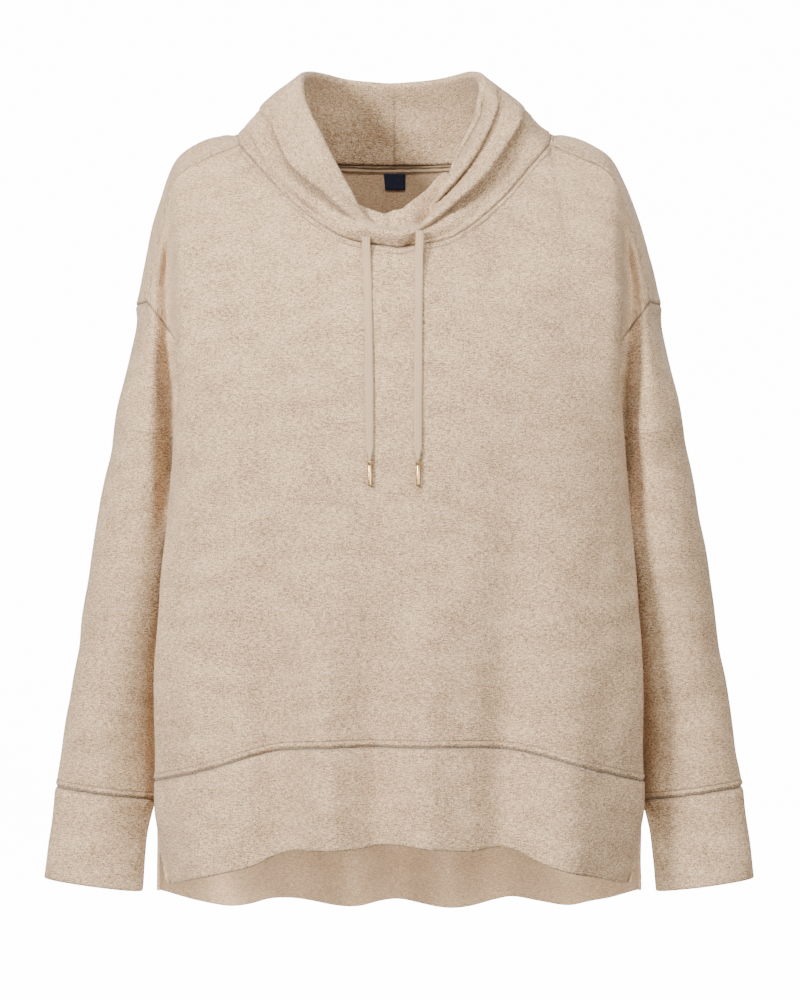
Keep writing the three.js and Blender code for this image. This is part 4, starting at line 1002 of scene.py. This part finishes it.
def sweatshirt():
    front = panel(FRONT, FRONT_NECKLINE, FRONT_ARMHOLE_STEPS)
    back = panel(BACK, BACK_NECKLINE, BACK_ARMHOLE_STEPS)
    front_side = front["side"][front["rows"] >= SIDE_STEPS - ROUNDING]
    back_rows = (back["rows"] > SIDE_STEPS + ROUNDING) & (back["rows"] < back["rows"][-1] - ROUNDING)
    loop = np.concatenate([front_side, back["side"][back_rows][::-1]])
    round_it = lengths(np.concatenate([loop, loop[:1]]))
    turns = round_it[:-1] / round_it[-1]
    front_band = band(front["grid"][0].copy(), **FRONT_BAND)
    back_band = band(back["grid"][0].copy(), **BACK_BAND)
    for piece, folds, outward in ((front, FRONT_FOLDS, -1), (front_band, FRONT_FOLDS, -1),
                                  (back, BACK_FOLDS, 1), (back_band, BACK_FOLDS, 1)):
        wave(piece["grid"], folds, outward)
    pieces = {"front": front, "back": back, "hem_band_front": front_band, "hem_band_back": back_band}
    for side, hand in (("left", 1), ("right", -1)):
        arm = sleeve(loop, turns, hand)
        end = cuff(arm["grid"][-1], turns)
        if hand < 0:
            arm["grid"], end["grid"] = mirror(arm["grid"]), mirror(end["grid"])
        pieces["sleeve_" + side], pieces["cuff_" + side] = arm, end
        side_hollow(arm["grid"])
    side_hollow(front["grid"])
    pieces["collar"] = collar()
    for name, piece in pieces.items():
        piece["sewn"] = ("first",) if name.startswith(("hem", "cuff", "collar")) else ("first", "last")
        if name.startswith(("hem", "cuff")):
            piece["thick"] = DOUBLE_FLEECE
    front["sewn_sides"], back["sewn_sides"] = (0, front["rows"][-1]), (0, back["rows"][-1])
    front_band["sewn_sides"] = back_band["sewn_sides"] = (0, SEWN_SIDE)
    for piece in pieces.values():
        settle(piece)
    return pieces


# Twin-needle seams: how far the two rows of stitches lie from each kind of seam
TWIN_ROWS = (2.0, 6.4)
SHOULDER_ROWS = (5.0,)
NEEDLE_DEEP, NEEDLE_WIDTH, STRIP_HIGH, STRIP_WIDTH = 0.6, 0.6, 0.6, 2.2
# Painted shade: how dark the cloth is drawn at seams, needle rows, the collar's centre back seam and its
# creases, standing for the shade in their grooves
SEAM_SHADE_WIDTH, NEEDLE_SHADE_WIDTH = 1.7, 0.7
NEEDLE_SHADE, CENTRE_SHADE, CREASE_SHADE = 0.8, 0.6, 0.6
# Uneven swell of the cloth: height, length of its waves and seed, everywhere and beside seams
SWELLS = ((0.3, 62, 11), (0.12, 27, 12))
PUCKER, PUCKER_REACH = (0.3, 9, 13), 7


def sewn_lines(name):
    """The edges of a piece that carry rows of stitches: edge, distances and the part of the edge."""
    if name.startswith("sleeve"):
        return [("last", TWIN_ROWS, None)]
    if name not in ("front", "back"):
        return []
    at_neck = np.abs(columns) <= NECK_COLUMN - 0.1
    lines = [("first", TWIN_ROWS, None), ("last", TWIN_ROWS, at_neck)]
    if name == "back":
        lines += [("last", SHOULDER_ROWS, hand * columns >= NECK_COLUMN + 0.15) for hand in (1, -1)]
    return lines


def needle_grooves(name, far):
    """Each row of stitches draws the cloth in, and the strip between two rows stands a little."""
    relief = 0
    for edge, distances, part in sewn_lines(name):
        d = far[edge]
        grooves = -NEEDLE_DEEP * sum(np.exp(-((d - row) / NEEDLE_WIDTH) ** 2) for row in distances)
        strip = STRIP_HIGH * np.exp(-((d - np.mean(distances)) / STRIP_WIDTH) ** 4)
        relief = relief + (grooves + strip) * (1 if part is None else part)
    return relief


def add_relief(pieces):
    """Soft swells, seam dips, puckers and needle grooves, which move both pieces of a seam alike."""
    everything = list(pieces.values())
    share_normals(everything)
    for name, piece in pieces.items():
        g, far = piece["grid"], edge_distances(piece)
        near = sewn_distance(piece, far)
        # Painted shade along seams and needle rows, which goes into the colour through the seam attribute
        shade = np.exp(-(near / SEAM_SHADE_WIDTH) ** 2)
        for edge, distances, part in sewn_lines(name):
            for row in distances:
                line = np.exp(-((far[edge] - row) / NEEDLE_SHADE_WIDTH) ** 2)
                shade = np.maximum(shade, NEEDLE_SHADE * line * (1 if part is None else part))
        # Painted shade along the collar's centre back seam and its creases
        if name == "collar":
            centre_back = np.exp(-(g[..., 0] - NECK_SHIFT) ** 2) * (g[..., 1] > 0)
            shade = np.maximum(shade, CENTRE_SHADE * centre_back)
            shade = np.maximum(shade, CREASE_SHADE * piece["crease"])
        piece["seam_shade"] = shade
        swell = sum(high * ripple(g, scale, seed) for high, scale, seed in SWELLS)
        pucker = PUCKER[0] * ripple(g, *PUCKER[1:]) * np.exp(-(near / PUCKER_REACH) ** 2)
        dip = -SEAM_DIP * np.exp(-(near / SEAM_DIP_WIDTH) ** 2)
        piece["grid"] = g + piece["normals"] * (swell + pucker + dip + needle_grooves(name, far))[..., None]
    share_normals(everything)
    for piece in everything:
        draw_back(piece)


pieces = sweatshirt()
add_relief(pieces)
made = {name: wall(name + "_cloth", piece, fleece) for name, piece in pieces.items()}

# Cut sizes of what shows: width, length and area in metres
POCKET_CUT, LABEL_CUT = (0.17, 0.16, 0.019), (0.0215, 0.0155, 0.00033)
for name, piece in made.items():
    finish_piece(piece, "fleece", name)


# Patches that lie inside a panel

def read_surface(piece, rows, cols, out):
    """Points and normals at line numbers of the panel's own grid, moved out by a distance."""
    r = np.interp(rows, piece["rows"], np.arange(len(piece["rows"])))
    c = np.interp(cols, piece["columns"], np.arange(len(piece["columns"])))
    i = np.minimum(r.astype(int), len(piece["rows"]) - 2)
    j = np.minimum(c.astype(int), len(piece["columns"]) - 2)
    a, b = (r - i)[..., None], (c - j)[..., None]

    def read(field):
        return ((field[i, j] * (1 - b) + field[i, j + 1] * b) * (1 - a)
                + (field[i + 1, j] * (1 - b) + field[i + 1, j + 1] * b) * a)

    normals = unit(read(piece["normals"]))
    return read(piece["grid"]) + normals * out, normals


def patch(name, panel_piece, rows, cols, thick, gap, material, slot, cut=None):
    grid, normals = read_surface(panel_piece, rows, cols, -(FLEECE / 2 + gap + thick / 2))
    flat = {"grid": grid, "normals": normals, "sewn": (), "thick": thick}
    made = wall(name + "_cloth", flat, material)
    finish_piece(made, slot, name)
    return made


def column_at(guide):
    return np.interp(guide, GUIDE_OF_COLUMN, np.arange(LAST_COLUMN + 1))


def pocket_line(count):
    """Rows and guides of places along the stitch line of a pocket bag."""
    line = along([(s, g, 0) for s, g in POCKET_LINE], np.linspace(0, len(POCKET_LINE) - 1, count))
    return line[:, 0] / UNDERARM * SIDE_STEPS, line[:, 1]


def pocket_places(hand):
    row, guide = pocket_line(POCKET_LINES)
    t = np.linspace(0, 1, POCKET_LINES)
    column = column_at(guide[:, None] * (1 - t) + POCKET_SIDE * t)
    return np.repeat(row[:, None], len(t), axis=1), hand * column


for side, hand in (("left", 1), ("right", -1)):
    patch("pocket_bag_" + side, pieces["front"], *pocket_places(hand), POCKET_CLOTH, POCKET_GAP, pocket_cloth,
          "pocket_cloth", POCKET_CUT)


def neck_patches():
    back = pieces["back"]
    top = back["rows"][-1]
    row_size = np.linalg.norm(read_surface(back, top, 0.0, 0)[0] - read_surface(back, top - 1, 0.0, 0)[0])
    col_size = np.linalg.norm(read_surface(back, top, 0.0, 0)[0] - read_surface(back, top, 1.0, 0)[0])
    cols = np.linspace(-(NECK_COLUMN - 3), NECK_COLUMN - 3, 160)
    down = np.linspace(TAPE_WIDTH, 0.6, 9)
    rows, spread = np.meshgrid(top - down / row_size, cols, indexing="ij")
    tape = patch("neck_tape", back, rows, spread, TAPE, LAY_GAP, tape_cloth, "tape")
    down = np.linspace(TAPE_WIDTH + 0.5 + LABEL_HEIGHT, TAPE_WIDTH + 0.5, 22)
    across = np.linspace(-0.5, 0.5, 28) * LABEL_WIDTH / col_size
    rows, spread = np.meshgrid(top - down / row_size, across, indexing="ij")
    patch("neck_label", back, rows, spread, TAPE, LAY_GAP, label_cloth, "label", LABEL_CUT)
    return {"back": [tape]}


SEWN_ON = neck_patches()
for name, piece in made.items():
    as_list(SEWN_ON.get(name, ()))


# Stitches: places from the seams, each stitch a short thread laid by Geometry Nodes

STITCH = {"length": 2.8, "thread": 0.75, "pitch": 3.5}
HOLE_STITCH = {"length": 2.4, "thread": 0.8}
HOLE_SIZE, HOLE_RISE, HOLE_STITCHES = (1.9, 4.2), 3.0, 26
CHANNEL_DEPTH, SLIT_ROW = 19.0, 9.5


def between_rows(g, n, j, k, lift):
    """The point and normal of column j at row number k, moved out by a distance."""
    i = min(int(k), len(g) - 2)
    a = k - i
    normal = unit(n[i, j] * (1 - a) + n[i + 1, j] * a)
    return g[i, j] * (1 - a) + g[i + 1, j] * a + normal * lift, normal


def beside(piece, edge, distance, part=None):
    """A line on the outside of a piece at a distance from one of its edges, with the normals there."""
    far = edge_distances(piece)[edge]
    g, n = piece["grid"], piece["normals"]
    if edge in ("left", "right"):
        far, g, n = far.T, g.transpose(1, 0, 2), n.transpose(1, 0, 2)
    if far[0].mean() > far[-1].mean():
        far, g, n = far[::-1], g[::-1], n[::-1]
    keep = range(g.shape[1]) if part is None else np.flatnonzero(part)
    lift = piece.get("thick", FLEECE) / 2
    numbers = np.arange(len(far))
    places = [between_rows(g, n, j, np.interp(distance, far[:, j], numbers), lift) for j in keep]
    if piece.get("closed"):
        places.append(places[0])
    return tuple(np.array(part) for part in zip(*places))


def along_line(line, normals, pitch, turn=0.0):
    """Stitch places at an even pitch: point, direction and normal of each."""
    length = lengths(line)
    marks = np.arange(pitch / 2, length[-1] - pitch / 3, pitch)
    read = lambda field: np.stack([np.interp(marks, length, field[:, k]) for k in range(3)], axis=1)
    up = unit(read(normals))
    way = unit(read(np.gradient(line, axis=0)))
    way = unit(way * math.cos(turn) + np.cross(up, way) * math.sin(turn))
    return np.concatenate([read(line), way, up], axis=1)


def thread_tree():
    """Instances one short rounded thread on every point, along its own direction."""
    tree = bpy.data.node_groups.new("stitch_rows", "GeometryNodeTree")
    face = tree.interface
    face.new_socket("Geometry", in_out="INPUT", socket_type="NodeSocketGeometry")
    face.new_socket("Geometry", in_out="OUTPUT", socket_type="NodeSocketGeometry")
    inputs = {}
    for name, kind in (("Stitch length", "Float"), ("Thread width", "Float"), ("Thread", "Material")):
        socket = face.new_socket(name, in_out="INPUT", socket_type="NodeSocket" + kind)
        inputs[name] = socket.identifier
    add = tree.nodes.new
    link = tree.links.new
    entry, leave = add("NodeGroupInput"), add("NodeGroupOutput")
    ball = add("GeometryNodeMeshUVSphere")
    ball.inputs["Segments"].default_value = 6
    ball.inputs["Rings"].default_value = 5
    ball.inputs["Radius"].default_value = 0.5
    size = add("ShaderNodeCombineXYZ")
    link(entry.outputs["Stitch length"], size.inputs[0])
    link(entry.outputs["Thread width"], size.inputs[1])
    link(entry.outputs["Thread width"], size.inputs[2])
    shape = add("GeometryNodeTransform")
    link(ball.outputs[0], shape.inputs["Geometry"])
    link(size.outputs[0], shape.inputs["Scale"])
    axes = add("FunctionNodeAxesToRotation")
    axes.primary_axis, axes.secondary_axis = "X", "Z"
    for name, socket in (("lay", 0), ("up", 1)):
        read = add("GeometryNodeInputNamedAttribute")
        read.data_type = "FLOAT_VECTOR"
        read.inputs["Name"].default_value = name
        link(read.outputs["Attribute"], axes.inputs[socket])
    instance = add("GeometryNodeInstanceOnPoints")
    link(entry.outputs["Geometry"], instance.inputs["Points"])
    link(shape.outputs[0], instance.inputs["Instance"])
    link(axes.outputs[0], instance.inputs["Rotation"])
    realize = add("GeometryNodeRealizeInstances")
    link(instance.outputs[0], realize.inputs[0])
    paint = add("GeometryNodeSetMaterial")
    link(realize.outputs[0], paint.inputs["Geometry"])
    link(entry.outputs["Thread"], paint.inputs["Material"])
    link(paint.outputs[0], leave.inputs[0])
    return tree, inputs


stitch_tree, stitch_inputs = thread_tree()


def sew(name, places, stitch, material):
    """Turns stitch places into one plain mesh of threads."""
    mesh = bpy.data.meshes.new(name)
    mesh.from_pydata(places[:, :3] * MM, [], [])
    for key, fields in (("lay", slice(3, 6)), ("up", slice(6, 9))):
        data = mesh.attributes.new(key, "FLOAT_VECTOR", "POINT").data
        data.foreach_set("vector", places[:, fields].astype(np.float32).ravel())
    piece = bpy.data.objects.new(name, mesh)
    bpy.context.scene.collection.objects.link(piece)
    modifier = piece.modifiers.new("stitches", "NODES")
    modifier.node_group = stitch_tree
    modifier[stitch_inputs["Stitch length"]] = stitch["length"] * MM
    modifier[stitch_inputs["Thread width"]] = stitch["thread"] * MM
    modifier[stitch_inputs["Thread"]] = material
    graph = bpy.context.evaluated_depsgraph_get()
    result = bpy.data.meshes.new_from_object(piece.evaluated_get(graph))
    piece.modifiers.clear()
    piece.data = result
    result.name = name
    result.polygons.foreach_set("use_smooth", np.ones(len(result.polygons), bool))
    finish_piece(piece, "fleece")
    return piece


def seam_rows():
    rows = []

    def row(piece, edge, distance, part=None, turn=0.0):
        rows.append(along_line(*beside(piece, edge, distance, part), STITCH["pitch"], turn))

    for name in ("front", "back", "sleeve_left", "sleeve_right"):
        for edge, distances, part in sewn_lines(name):
            for distance in distances:
                row(pieces[name], edge, distance, part)
    for name in ("hem_band_front", "hem_band_back"):
        below = pieces[name]["rows"] >= SEWN_SIDE
        for edge in ("left", "right"):
            row(pieces[name], edge, SLIT_ROW, below)
    rows.append(along_line(*channel_line(), STITCH["pitch"]))
    return np.concatenate(rows)


def pocket_rows():
    row, guide = pocket_line(90)
    places = [read_surface(pieces["front"], row, hand * column_at(guide), FLEECE / 2) for hand in (1, -1)]
    return np.concatenate([along_line(*place, STITCH["pitch"]) for place in places])


def channel_line():
    """The drawcord channel's stitch line, 19 mm below the rim or less on the outside of the collar."""
    piece = pieces["collar"]
    g, n = piece["grid"][:piece["rim_row"] + 1], piece["normals"][:piece["rim_row"] + 1]
    far = edge_distances({"grid": g})["last"]
    numbers = np.arange(len(far))[::-1]
    places = []
    for j in list(range(g.shape[1])) + [0]:
        depth = min(CHANNEL_DEPTH, far[0, j] * 0.6)
        places.append(between_rows(g, n, j, np.interp(depth, far[::-1, j], numbers), FLEECE / 2))
    return tuple(np.array(part) for part in zip(*places))


def buttonhole(place):
    """Radial stitches round an upright slit in the collar, out of which the cord hangs."""
    piece = pieces["collar"]
    outer = slice(4, piece["rim_row"] - 3)
    g, n = piece["grid"][outer].reshape(-1, 3), piece["normals"][outer].reshape(-1, 3)
    spots = []
    for turn in np.linspace(0, 2 * math.pi, HOLE_STITCHES, endpoint=False):
        way = np.array([HOLE_SIZE[0] * math.cos(turn), 0, HOLE_SIZE[1] * math.sin(turn)])
        near = np.argsort((((g - (place + way)) * (1, 0.2, 1)) ** 2).sum(axis=1) + 1e6 * (g[:, 1] > 0))[:3]
        normal = unit(n[near].mean(axis=0))
        point = place + way
        point[1] = (g[near, 1] + n[near, 1] * FLEECE / 2).mean()
        lay = unit(np.array([math.cos(turn), 0, math.sin(turn)]))
        lay = unit(lay - normal * (lay * normal).sum())
        spots.append(np.concatenate([point, lay, normal]))
    return np.array(spots)


holes = np.concatenate([buttonhole(np.array(route[0]) + (0, 0, HOLE_RISE)) for route in CORD_ROUTES.values()])
sew("seam_stitches", seam_rows(), STITCH, seam_thread)
sew("pocket_stitches", pocket_rows(), STITCH, hole_thread)
sew("buttonhole_stitches", holes, HOLE_STITCH, hole_thread)
